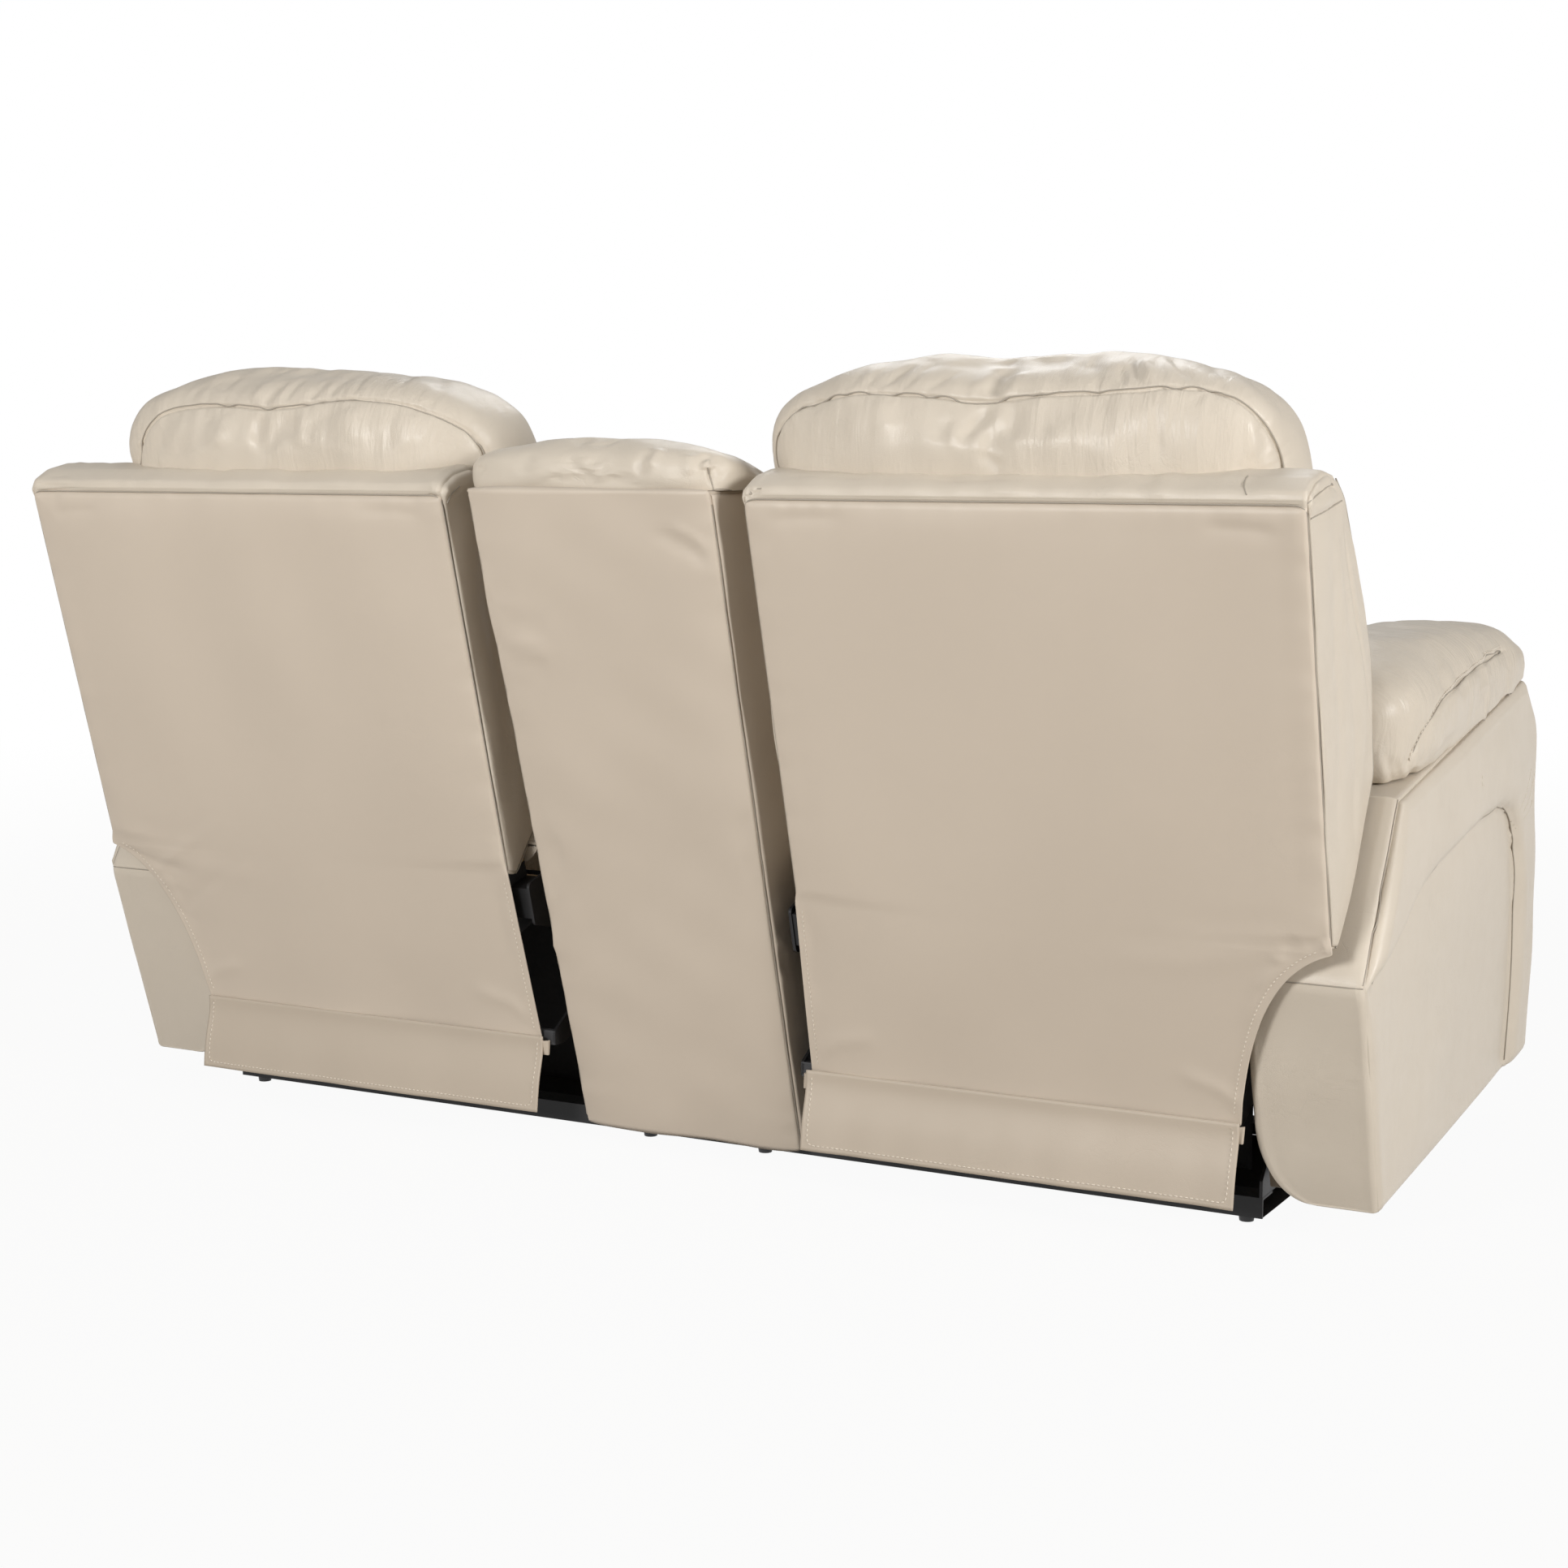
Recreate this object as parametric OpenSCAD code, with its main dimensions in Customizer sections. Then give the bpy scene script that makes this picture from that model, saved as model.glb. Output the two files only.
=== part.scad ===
// Reclining console loveseat: two reclining seats, each on its own linkage, with a fixed console between.
// Origin on the floor under the middle of the sofa, +Z up, the sitter faces -Y, +X is the sitter's left.
// Side outlines are written as [y, z]. Pieces of a seat are drawn for the +X seat and mirrored for the other.

/* [Overall] */
// Width over the two arm bodies
overall_w = 1880; // [1840:10:1960]
// Distance from the origin to the front faces
front_reach = 525; // [515:5:545]
// Width of the console between the seats
console_w = 350; // [330:5:370]
// Width of one arm body
arm_w = 150; // [140:5:165]

/* [Seat] */
// Height of the top of the seat box
box_top = 332; // [330:1:345]
// Height of the seat box rails
box_h = 80; // [60:5:95]
// Thickness of the seat box rails
box_t = 22; // [16:1:30]
// Seat cushion thickness at its crown
seat_pad_h = 164; // [130:2:168]
// Rear end of the seat box
box_rear_y = 145; // [130:5:150]
// Distance from the front faces back to the seat box
box_inset = 80; // [70:5:95]

/* [Back] */
// Lean of the back from upright, in degrees
back_tilt = 15.35; // [14:0.05:17]
// Length of the back's rear face up its slope, flap included
back_len = 770; // [750:2:800]
// Distance of the foot of that slope behind the origin
back_foot_y = 310; // [305:1:330]
// Height of the foot of that slope
back_foot_z = 144; // [136:1:152]
// Greatest depth of the back's side gussets
wing_depth = 211; // [195:1:212]
// Gap between the console and the back cover
back_inner_gap = 42; // [40:1:60]
// Distance from the arm's outer face in to the back cover
back_inset = 34; // [25:1:50]
// Thickness of the padded back cover
cover_t = 12; // [8:1:14]
// Thickness of the back's timber frame
back_frame_t = 45; // [35:1:55]
// Width of the back's timber posts and rails
back_rail_w = 40; // [30:1:50]
// Height of the head pillow
head_h = 310; // [290:5:330]
// Depth of the head pillow
head_depth = 240; // [210:5:250]

/* [Arms and console] */
// Height of the arm pillow's top
arm_top = 708; // [700:2:730]
// Thickness of the arm's padded cover
arm_cover_t = 12; // [8:1:18]
// Width of the arm's timber ring
arm_ring_w = 60; // [40:2:80]
// Arm pillow's overhang towards the seat
arm_overhang = 74; // [50:2:78]
// Height of the console body's top
console_top = 560; // [545:5:575]
// Lean of the console's tall back from upright, in degrees
slab_tilt = 16.44; // [15:0.02:17]
// Thickness of the console's tall back
slab_t = 160; // [140:5:170]
// Thickness of the console body's walls
console_wall = 18; // [12:1:24]
// Depth of the storage bin
bin_depth = 240; // [150:5:300]
// Radius of a cup holder's inside
cup_r = 43; // [38:0.5:46]
// Depth of a cup holder
cup_depth = 70; // [50:1:90]

/* [Linkage] */
// Thickness of every steel plate and link
link_t = 4; // [3:0.25:4.5]
// Space between two layers of the linkage
layer_gap = 3; // [2.8:0.1:3.4]
// Half width of a link
link_r = 11; // [10.5:0.5:13]
// Radius of a pivot pin
pin_r = 5; // [4:0.25:6]
// Length of the upright swing links
swing_len = 100; // [90:1:105]
// Rest lean of the swing links towards the rear, in degrees
swing_lean = 10; // [8:0.5:12]
// Length of the two footrest drive links
drive_len = 250; // [245:1:252]
// Rest lean of the drive links towards the rear, in degrees
drive_lean = 25; // [23:0.5:26]
// Length of the two footrest carrier links between pivots
carrier_len = 245; // [242:1:247]
// Distance between the two carrier links' pivots
carrier_gap = 69; // [64:1:72]

/* [Hidden] */
// Radial play of a pin that turns in its hole
run_play = 0.05;
// Radial play of the two pivots where the linkage closes on itself
open_play = 0.4;
// Side play of a link between its shoulder and its rivet head
side_play = 0.3;
// Gap between pieces that seat on each other
seat_gap = 0.3;
// Overrun of a cut past the face it cuts
cut = 2;
$fn = 48;
leather = [0.86, 0.80, 0.71];
vinyl = [0.79, 0.73, 0.64];
timber = [0.76, 0.62, 0.42];
black_steel = [0.10, 0.10, 0.11];
zinc = [0.62, 0.63, 0.65];

// Widths

console_x = console_w / 2;
arm_out_x = overall_w / 2;
arm_in_x = arm_out_x - arm_w;
bay_mid = (arm_in_x + console_x) / 2;
front_y = -front_reach;
box_front = front_reach - box_inset;

// Base

foot_h = 10;
rail_h = 26;
rail_t = 3;
rail_leg = 40;
rail_top = foot_h + rail_h;
rear_rail_y = 200;
front_rail_y = -140;
foot_r = 14;
foot_tip_r = 9;
foot_inset = 26;
console_foot_x = 90;
base_plate_over = 22;
base_plate_rail_r = 6;
base_plate_boss_r = 12;
base_plate_waist_r = 8;

// Pivots, as [y, z]

recline_pivot = [200, 290];
swing_foot_z = 110;
swing_foot_ys = [150, -60];
function swing_foot(i) = [swing_foot_ys[i], swing_foot_z];
function swing_head(i) = swing_foot(i) + swing_len * [sin(swing_lean), cos(swing_lean)];
drive_setback = 115;
drive_pivot = [drive_setback - box_front, 310];
idler_offset = [53, -29];
idler_pivot = drive_pivot + idler_offset;
drive_dir = [sin(drive_lean), -cos(drive_lean)];
carrier_dir = -idler_offset / norm(idler_offset);
lower_joint = drive_pivot + drive_len * drive_dir;
idler_joint = idler_pivot + drive_len * drive_dir;
upper_joint = lower_joint - carrier_gap * drive_dir;
lower_tip = lower_joint + carrier_len * carrier_dir;
upper_tip = upper_joint + carrier_len * carrier_dir;

// Linkage layers, counted from the arm or console face inwards

layer_pitch = link_t + layer_gap;
head_h_rivet = 2;
rivet_r = 8;
function layer_in(k) = seat_gap + k * layer_pitch + link_t;
linkage_w = layer_in(5) + side_play + head_h_rivet;
box_side_gap = 1.4;
box_x0 = console_x + linkage_w + box_side_gap;
box_x1 = arm_in_x - linkage_w - box_side_gap;

// Arm body's side outline, from its rear bottom corner round to its front

arm_rear_bottom = [258, 41];
arm_rear_seam = [350, 331];
arm_shoulder = [216, 535];
arm_brow_setback = 100;
arm_brow = [front_y + arm_brow_setback, 628];
arm_chest_in = 10;
arm_belly_in = 5;
arm_toe_in = 37;
arm_front_top = [front_y + arm_chest_in, 560];
arm_front_mid = [front_y + arm_belly_in, 330];
arm_front_bottom = [front_y + arm_toe_in, 84];
arm_corner_r = 18;
arm_brow_r = 60;
arm_corners = [
  arm_rear_bottom, arm_rear_seam, arm_shoulder, arm_brow, arm_front_top, arm_front_mid, arm_front_bottom];
arm_outline = rounded(
  arm_corners, [arm_corner_r, arm_corner_r, arm_corner_r, arm_brow_r, arm_brow_r, arm_brow_r, arm_corner_r]);
arm_edge_r = 22;

// Arm pillow

pillow_rear_y = 192;
pillow_outer_bulge = 10;
pillow_drop = 30;
pillow_front_in = 4;
pillow_front_y = front_y + pillow_front_in;
pillow_end_fall = 20;
pillow_side_fall = 12;
function arm_top_line(y) = arm_shoulder[1]
  + (arm_brow[1] - arm_shoulder[1]) * (y - arm_shoulder[0]) / (arm_brow[0] - arm_shoulder[0]);

// Release lever on the arm's inner face

lever_setback = 235;
lever_pivot = [front_y + lever_setback, 540];
lever_len = 85;
lever_r = 8;
lever_hub_r = 13;
lever_cap_r = 11;
lever_t = 8;
bezel_r = 24;
bezel_t = 3;
lever_pin_r = 6;

// Console

deck_depth = 330;
deck_split_y = front_y + deck_depth;
lid_split_gap = 4;
lid_rear_y = 170;
lid_board_t = 12;
lid_pad_h = 66;
lid_pad_fall = 6;
lid_inset = 7;
deck_t = 18;
deck_inset = 4;
console_front_in = 8;
console_front_y = front_y + console_front_in;
console_edge_r = 30;
console_low_r = 4;
well_ledge = 14;
cup_xs = [-78, 78];
cup_setback = 180;
cup_y = front_y + cup_setback;
cup_wall = 1.5;
cup_lip = 5;
bin_wall = 3;
bin_lip = 8;
bin_gap = 1;
bin_side_gap = 6;
hinge_pin_r = 3;
hinge_barrel_r = 6;
hinge_half = 40;
hinge_pin_seat = 6;
hinge_leaf_w = 40;
hinge_leaf_t = 2;
lid_axis = [lid_rear_y - hinge_barrel_r, console_top + bin_wall + hinge_barrel_r];
hinge_xs = [-100, 100];
hinge_gap = 0.5;
slab_foot = [262, 23];
slab_top_z = 894;
slab_top_half = 178;
slab_foot_half = 168;
slab_lip = 19;
slab_depth = slab_t / cos(slab_tilt);
function slab_rear(z) = slab_foot[0] + (z - slab_foot[1]) * tan(slab_tilt);
function slab_front(z) = slab_rear(z) - slab_depth;
cap_half = 203;
cap_top = 956;
cap_drop = 22;
cap_end_fall = 5;
cap_front_over = 16;
cap_rear_over = 6;

// Back, in its own frame: d is the depth forward from the rear face, l the length up the slope

back_x0 = console_x + back_inner_gap;
back_x1 = arm_out_x - back_inset;
function back_at(d, l) = [
  back_foot_y + l * sin(back_tilt) - d * cos(back_tilt),
  back_foot_z + l * cos(back_tilt) + d * sin(back_tilt)];
// Gusset outline: its depths are shares of the greatest depth, its foot keeps clear of the arm
// and its upper corners are measured down from the top seam
wing_foot_l = 244;
wing_heel = 11;
wing_arm_rise = [110, 133];
wing_brow_drop = [233, 128, 33];
wing_roll = 5;
wing_top_l = back_len + wing_roll;
wing_depth_shares = [0, 0.104, 0.844, 0.972, 1, 0.839, 0.668, 0.50, 0];
wing_lengths = [
  wing_foot_l, wing_foot_l - wing_heel, wing_foot_l + wing_arm_rise[0], wing_foot_l + wing_arm_rise[1],
  back_len - wing_brow_drop[0], back_len - wing_brow_drop[1], back_len - wing_brow_drop[2],
  wing_top_l, wing_top_l];
wing_heel_r = 6;
wing_arm_r = 20;
wing_brow_r = 60;
wing_roll_r = 24;
wing_lip_r = 40;
wing_radii = [
  0, wing_heel_r, wing_arm_r, wing_arm_r, wing_brow_r, wing_brow_r, wing_roll_r, wing_lip_r, wing_roll_r];
wing_corners = [for (i = [0:8]) [wing_depth_shares[i] * wing_depth, wing_lengths[i]]];
wing_outline = rounded(wing_corners, wing_radii);
frame_foot_l = 150;
frame_d0 = cover_t + seat_gap;
frame_half = bay_mid - back_x0 - frame_d0;
frame_d1 = frame_d0 + back_frame_t;
frame_top_gap = 6;
frame_top_l = wing_top_l - cover_t - seat_gap - frame_top_gap;
frame_mid_l = 400;
frame_x0 = bay_mid - frame_half;
frame_x1 = bay_mid + frame_half;
frame_wing_x = back_x1 - cover_t - seat_gap;
frame_wing_l = 288;
open_side_gap = 1;
open_side_x = frame_x1 + open_side_gap;
bracket_l0 = 165;
bracket_l1 = 225;
bracket_eye = 17;
bracket_eye_r = 15;
bracket_toe_r = 8;
bracket_neck_r = 20;
bracket_lug_in = 8;
bracket_lug_gap = 2;

// Cushions of the back

back_pad_inner_gap = 16;
back_pad_outer_gap = 8;
back_pad_x0 = console_x + back_pad_inner_gap;
back_pad_x1 = arm_in_x - arm_overhang - back_pad_outer_gap;
back_pad_l0 = 214;
back_pad_l1 = 566;
back_pad_d1 = 268;
back_side_share = 0.16;
back_groove_share = 0.10;
head_inner_gap = 36;
head_outer_inset = 60;
head_x0 = console_x + head_inner_gap;
head_x1 = arm_out_x - head_outer_inset;
head_mid = [352, 900];

// Flap and skirt behind the seat

cloth_t = 3;
flap_inner_gap = 33;
flap_outer_gap = 7;
flap_foot_x0 = console_x + flap_inner_gap;
flap_foot_x1 = arm_in_x - flap_outer_gap;
skirt_inner_gap = 28;
skirt_foot = [331, 45];
skirt_lap = 4;
batten_t = 12;
batten_h = 20;
tail_w = 26;
flap_edge = 6;
flap_bow = 22;
flap_bow_share = 0.8;

// Seat cushion

seat_pad_gap = 5;
seat_pad_rear = 118;
seat_pad_over = 25;
seat_pad_front = box_front + seat_pad_over;
seat_side_share = 0.10;
seat_rear_share = 0.14;
seat_groove_share = 0.05;
seat_groove_place_share = 0.72;
groove_w_share = 0.08;
flange_w = 30;
flange_rear_y = 135;
swing_boss = 20;
plate_z0 = swing_head(0)[1] - swing_boss;
recline_boss_w = 22;
recline_boss_h = 24;
plate_rear_cut = 30;
drive_boss = 22;
idler_boss_z = 16;
idler_boss_y = 10;
plate_low_r = 30;
plate_boss_r = 12;
plate_tail_r = 4;

// Springs

wire_w = 4;
spring_count = 5;
spring_waves = 9;
spring_swing = 22;
spring_seat = 12;
spring_steps = 8;

// Footrest

board_t = 15;
board_gap = 3;
board_side_gap = 8;
board_y = upper_tip[0] - link_r - board_gap;
footrest_z0 = 110;
footrest_z1 = 430;
footrest_pad_out = 10;
footrest_pad_under = 5;
footrest_side_share = 0.2;
bracket_flange_w = 24;
bracket_flange_t = 2;
foot_bracket_reach = 15;
foot_bracket_up = 10;
foot_bracket_rise = 60;
foot_bracket_z0 = footrest_z0 + 2 * link_r;

// Outline helpers

function unit(v) = v / norm(v);
function turned(v, a) = [v[0] * cos(a) - v[1] * sin(a), v[0] * sin(a) + v[1] * cos(a)];
function corner(a, p, b, r, steps) =
  r <= 0 ? [p] :
  let (u = unit(a - p), v = unit(b - p),
       h = acos(max(-1, min(1, u * v))) / 2,
       c = p + unit(u + v) * r / sin(h),
       s = p + u * r / tan(h) - c,
       e = p + v * r / tan(h) - c,
       way = sign(s[0] * e[1] - s[1] * e[0]))
  [for (i = [0:steps]) c + turned(s, way * (180 - 2 * h) * i / steps)];
function rounded(pts, radii, steps = 5) =
  let (n = len(pts))
  [for (i = [0:n - 1]) each corner(pts[(i + n - 1) % n], pts[i], pts[(i + 1) % n], radii[i], steps)];
// Outline grown by g, for points that run counter-clockwise
function grown(pts, g) =
  let (n = len(pts))
  [for (i = [0:n - 1])
    let (e0 = unit(pts[i] - pts[(i + n - 1) % n]), e1 = unit(pts[(i + 1) % n] - pts[i]),
         n0 = [e0[1], -e0[0]], n1 = [e1[1], -e1[0]])
    pts[i] + g * (n0 + n1) / (1 + n0 * n1)];
function capsule(p, q, r, steps = 10) =
  let (a = atan2(q[1] - p[1], q[0] - p[0]))
  concat(
    [for (i = [0:steps]) q + r * [cos(a - 90 + 180 * i / steps), sin(a - 90 + 180 * i / steps)]],
    [for (i = [0:steps]) p + r * [cos(a + 90 + 180 * i / steps), sin(a + 90 + 180 * i / steps)]]);
function curve(p0, p1, p2, steps) =
  [for (i = [0:steps]) let (t = i / steps) (1 - t) * (1 - t) * p0 + 2 * t * (1 - t) * p1 + t * t * p2];
function mix(a, b, t) = a + (b - a) * t;
function power(v, e) = sign(v) * pow(abs(v), e);

// Building helpers

module yz(x0, x1) {
  translate([x0, 0, 0]) rotate([90, 0, 90]) linear_extrude(x1 - x0) children();
}
module box(low, high) {
  translate(low) cube(high - low);
}
module x_rod(p, x0, x1, r) {
  translate([x0, p[0], p[1]]) rotate([0, 90, 0]) cylinder(r = r, h = x1 - x0);
}
module seat(side) {
  if (side == "left") children();
  else mirror([1, 0, 0]) children();
}
module both_sides() {
  children();
  translate([2 * bay_mid, 0, 0]) mirror([1, 0, 0]) children();
}
// A plate in layer k on the arm's side of the bay
module layer_plate(k, points, holes = [], hole_r = pin_r + run_play) {
  yz(arm_in_x - layer_in(k), arm_in_x - layer_in(k) + link_t)
    difference() {
      polygon(points);
      for (h = holes) translate(h) circle(hole_r);
    }
}
// A shouldered rivet fixed in layer k that carries the link in layer k + 1
module rivet(k, p) {
  face = arm_in_x - layer_in(k);
  next = face - layer_gap;
  x_rod(p, face, face + link_t, pin_r);
  x_rod(p, next + side_play, face, rivet_r);
  x_rod(p, next - link_t - side_play, next + side_play, pin_r);
  x_rod(p, next - link_t - side_play - head_h_rivet, next - link_t - side_play, rivet_r);
}
// A closed soft form: place() maps a point of the unit pillow to its place
module pillow(place, end_soft, round_soft, ends = 12, around = 24) {
  rings = [for (i = [1:ends - 1]) let (u = -90 + 180 * i / ends)
    [for (j = [0:around - 1]) let (v = 360 * j / around, r = power(cos(u), end_soft))
      place([power(sin(u), end_soft), r * power(cos(v), round_soft), r * power(sin(v), round_soft)])]];
  last = len(rings) * around + 1;
  polyhedron(
    points = concat([place([-1, 0, 0])], [for (r = rings) each r], [place([1, 0, 0])]),
    faces = concat(
      [for (j = [0:around - 1]) [0, 1 + j, 1 + (j + 1) % around]],
      [for (i = [0:len(rings) - 2]) for (j = [0:around - 1]) let (k = (j + 1) % around, a = 1 + i * around)
        each [[a + j, a + around + j, a + around + k], [a + j, a + around + k, a + k]]],
      [for (j = [0:around - 1]) [last, last - around + (j + 1) % around, last - around + j]]));
}
// Pieces of the back are drawn in its own frame and leaned into place
module on_back() {
  translate([0, back_foot_y, back_foot_z]) rotate([-back_tilt, 0, 0]) children();
}
module back_bar(x0, x1, l0, l1, d0, d1) {
  on_back() box([x0, -d1, l0], [x1, -d0, l1]);
}

// Base

module cross_rail(y, front) {
  lip = front ? y : y + rail_leg - rail_t;
  box([-arm_in_x, y, rail_top - rail_t], [arm_in_x, y + rail_leg, rail_top]);
  box([-arm_in_x, lip, foot_h], [arm_in_x, lip + rail_t, rail_top]);
}
module cross_rails() color(black_steel) {
  cross_rail(rear_rail_y, false);
  cross_rail(front_rail_y, true);
}
module feet() color("black") {
  outer = arm_in_x - foot_inset;
  for (y = [rear_rail_y, front_rail_y])
    for (x = [-outer, -console_foot_x, console_foot_x, outer])
      translate([x, y + rail_leg / 2, 0])
        cylinder(r1 = foot_tip_r, r2 = foot_r, h = rail_top - rail_t);
}
base_waist_z = (swing_foot_z + rail_top) / 2;
base_boss_top = swing_foot_z + base_plate_over;
base_plate_outline = rounded(
  [[rear_rail_y + rail_leg, rail_top],
   [rear_rail_y + rail_leg, rail_top + base_plate_over],
   [swing_foot_ys[0] + base_plate_over, base_boss_top],
   [swing_foot_ys[0] - base_plate_over, base_boss_top],
   [swing_foot_ys[0] - 2 * base_plate_over, base_waist_z],
   [swing_foot_ys[1] + 2 * base_plate_over, base_waist_z],
   [swing_foot_ys[1] + base_plate_over, base_boss_top],
   [swing_foot_ys[1] - base_plate_over, base_boss_top],
   [front_rail_y, rail_top + base_plate_over],
   [front_rail_y, rail_top]],
  [0, base_plate_rail_r, base_plate_boss_r, base_plate_boss_r, base_plate_waist_r,
   base_plate_waist_r, base_plate_boss_r, base_plate_boss_r, base_plate_rail_r, 0]);
module base_plate_pair() {
  both_sides() {
    layer_plate(0, base_plate_outline);
    for (i = [0, 1]) rivet(0, swing_foot(i));
  }
}
module base_plates() color(black_steel) {
  base_plate_pair();
  mirror([1, 0, 0]) base_plate_pair();
}

// Arms

arm_cavity = grown(arm_outline, -arm_cover_t);
arm_ring_out = grown(arm_outline, -arm_cover_t - seat_gap);
arm_ring_in = rounded(
  grown(arm_corners, -arm_cover_t - seat_gap - arm_ring_w), [for (p = arm_corners) arm_corner_r]);
module arm_cover() color(leather) {
  difference() {
    intersection() {
      yz(arm_in_x, arm_out_x) polygon(arm_outline);
      translate([0, 0, arm_rear_bottom[1] - cut])
        linear_extrude(arm_top)
          polygon(rounded(
            [[arm_in_x, front_y], [arm_out_x, front_y], [arm_out_x, arm_rear_seam[0] + cut],
             [arm_in_x, arm_rear_seam[0] + cut]],
            [arm_edge_r, arm_edge_r, 0, 0]));
    }
    yz(arm_in_x + arm_cover_t, arm_out_x - arm_cover_t) polygon(arm_cavity);
  }
}
module left_arm_cover() arm_cover();
module right_arm_cover() mirror([1, 0, 0]) arm_cover();
module arm_frame() {
  yz(arm_in_x + arm_cover_t + seat_gap, arm_out_x - arm_cover_t - seat_gap)
    difference() {
      polygon(arm_ring_out);
      polygon(arm_ring_in);
    }
}
module arm_frames() color(timber) {
  arm_frame();
  mirror([1, 0, 0]) arm_frame();
}
module arm_pillow() color(leather) {
  x0 = arm_in_x - arm_overhang;
  x1 = arm_out_x + pillow_outer_bulge;
  place = function (p)
    let (y = mix(pillow_rear_y, pillow_front_y, (1 + p[0]) / 2),
         low = arm_top_line(y) - pillow_drop,
         top = arm_top - pillow_end_fall * p[0] * p[0] - pillow_side_fall * p[1] * p[1])
    [mix(x0, x1, (1 + p[1]) / 2), y, mix(low, top, (1 + p[2]) / 2)];
  difference() {
    pillow(place, 0.42, 0.5, 14, 24);
    yz(arm_in_x - seat_gap, arm_out_x + seat_gap) polygon(grown(arm_outline, seat_gap));
  }
}
module left_arm_pillow() arm_pillow();
module right_arm_pillow() mirror([1, 0, 0]) arm_pillow();

// Release levers

module release_bezel() {
  pin_end = arm_in_x - bezel_t - lever_t - 2 * side_play;
  x_rod(lever_pivot, arm_in_x - bezel_t, arm_in_x, bezel_r);
  x_rod(lever_pivot, pin_end, arm_in_x, lever_pin_r);
  x_rod(lever_pivot, pin_end - head_h_rivet, pin_end, lever_cap_r);
}
module release_bezels() color(black_steel) {
  release_bezel();
  mirror([1, 0, 0]) release_bezel();
}
module release_lever() color("dimgray") {
  tip = lever_pivot - [lever_len, 0];
  x = arm_in_x - bezel_t - side_play;
  yz(x - lever_t, x)
    difference() {
      union() {
        polygon(capsule(lever_pivot, tip, lever_r));
        translate(lever_pivot) circle(lever_hub_r);
      }
      translate(lever_pivot) circle(lever_pin_r + run_play);
    }
}
module left_release_lever() release_lever();
module right_release_lever() mirror([1, 0, 0]) release_lever();

// Console

console_outline = rounded(
  [[console_front_y, rail_top], [console_front_y, console_top], [slab_front(console_top), console_top],
   [slab_front(rail_top), rail_top]],
  [console_low_r, console_edge_r, 0, 0]);
console_half_in = console_x - console_wall;
well_rear_y = lid_rear_y - well_ledge;
module console_body() color(leather) {
  difference() {
    intersection() {
      yz(-console_x, console_x) polygon(console_outline);
      linear_extrude(console_top + cut)
        polygon(rounded(
          [[-console_x, console_front_y], [console_x, console_front_y],
           [console_x, slab_front(console_top)], [-console_x, slab_front(console_top)]],
          [console_edge_r, console_edge_r, 0, 0]));
    }
    box([-console_half_in, deck_split_y + console_wall / 2, rail_top + console_wall],
        [console_half_in, well_rear_y, console_top + cut]);
    box([-console_half_in, console_front_y + 2 * console_wall, rail_top + console_wall],
        [console_half_in, deck_split_y - console_wall / 2, console_top + cut]);
  }
}
bin_x = console_half_in - bin_side_gap;
bin_y0 = deck_split_y + console_wall / 2 + bin_side_gap;
bin_y1 = well_rear_y - bin_side_gap;
module console_bin() color("dimgray") {
  difference() {
    union() {
      box([-bin_x, bin_y0, console_top - bin_depth], [bin_x, bin_y1, console_top + bin_wall]);
      box([-bin_x - bin_lip, bin_y0 - bin_lip, console_top],
          [bin_x + bin_lip, bin_y1 + bin_lip, console_top + bin_wall]);
    }
    box([-bin_x + bin_wall, bin_y0 + bin_wall, console_top - bin_depth + bin_wall],
        [bin_x - bin_wall, bin_y1 - bin_wall, console_top + bin_wall + cut]);
  }
}
module console_back() color(vinyl) {
  intersection() {
    yz(-slab_top_half - cut, slab_top_half + cut)
      polygon([
        slab_foot, [slab_foot[0] - slab_lip, slab_foot[1]], [slab_foot[0] - slab_lip, rail_top],
        [slab_front(rail_top), rail_top], [slab_front(slab_top_z), slab_top_z],
        [slab_rear(slab_top_z), slab_top_z]]);
    translate([0, slab_rear(slab_top_z) + cut, 0]) rotate([90, 0, 0])
      linear_extrude(slab_rear(slab_top_z) + slab_depth)
        polygon([
          [-slab_foot_half, slab_foot[1]], [slab_foot_half, slab_foot[1]],
          [slab_top_half, slab_top_z], [-slab_top_half, slab_top_z]]);
  }
}
module console_cap() color(leather) {
  y0 = slab_front(slab_top_z) - cap_front_over;
  y1 = slab_rear(slab_top_z) + cap_rear_over;
  z0 = slab_top_z - cap_drop;
  place = function (p) [
    p[0] * cap_half,
    mix(y0, y1, (1 + p[1]) / 2),
    mix(z0, cap_top - cap_end_fall * p[0] * p[0], (1 + p[2]) / 2)];
  difference() {
    pillow(place, 0.4, 0.55, 14, 24);
    box([-slab_top_half - seat_gap, slab_front(z0) - cut, z0 - cut],
        [slab_top_half + seat_gap, slab_rear(slab_top_z) + seat_gap, slab_top_z + seat_gap]);
  }
}
lid_z0 = console_top + bin_wall + bin_gap;
lid_x = console_x - lid_inset;
module console_lid() color("saddlebrown") {
  difference() {
    box([-lid_x, deck_split_y + lid_split_gap, lid_z0], [lid_x, lid_rear_y, lid_z0 + lid_board_t]);
    for (x = hinge_xs)
      box([x - hinge_half - hinge_gap, lid_axis[0] - hinge_barrel_r - hinge_gap, lid_z0 - cut],
          [x + hinge_half + hinge_gap, lid_rear_y + cut, lid_z0 + lid_board_t + cut]);
  }
  for (x = hinge_xs)
    x_rod(lid_axis, x - hinge_half - hinge_pin_seat, x + hinge_half + hinge_pin_seat, hinge_pin_r);
}
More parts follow.
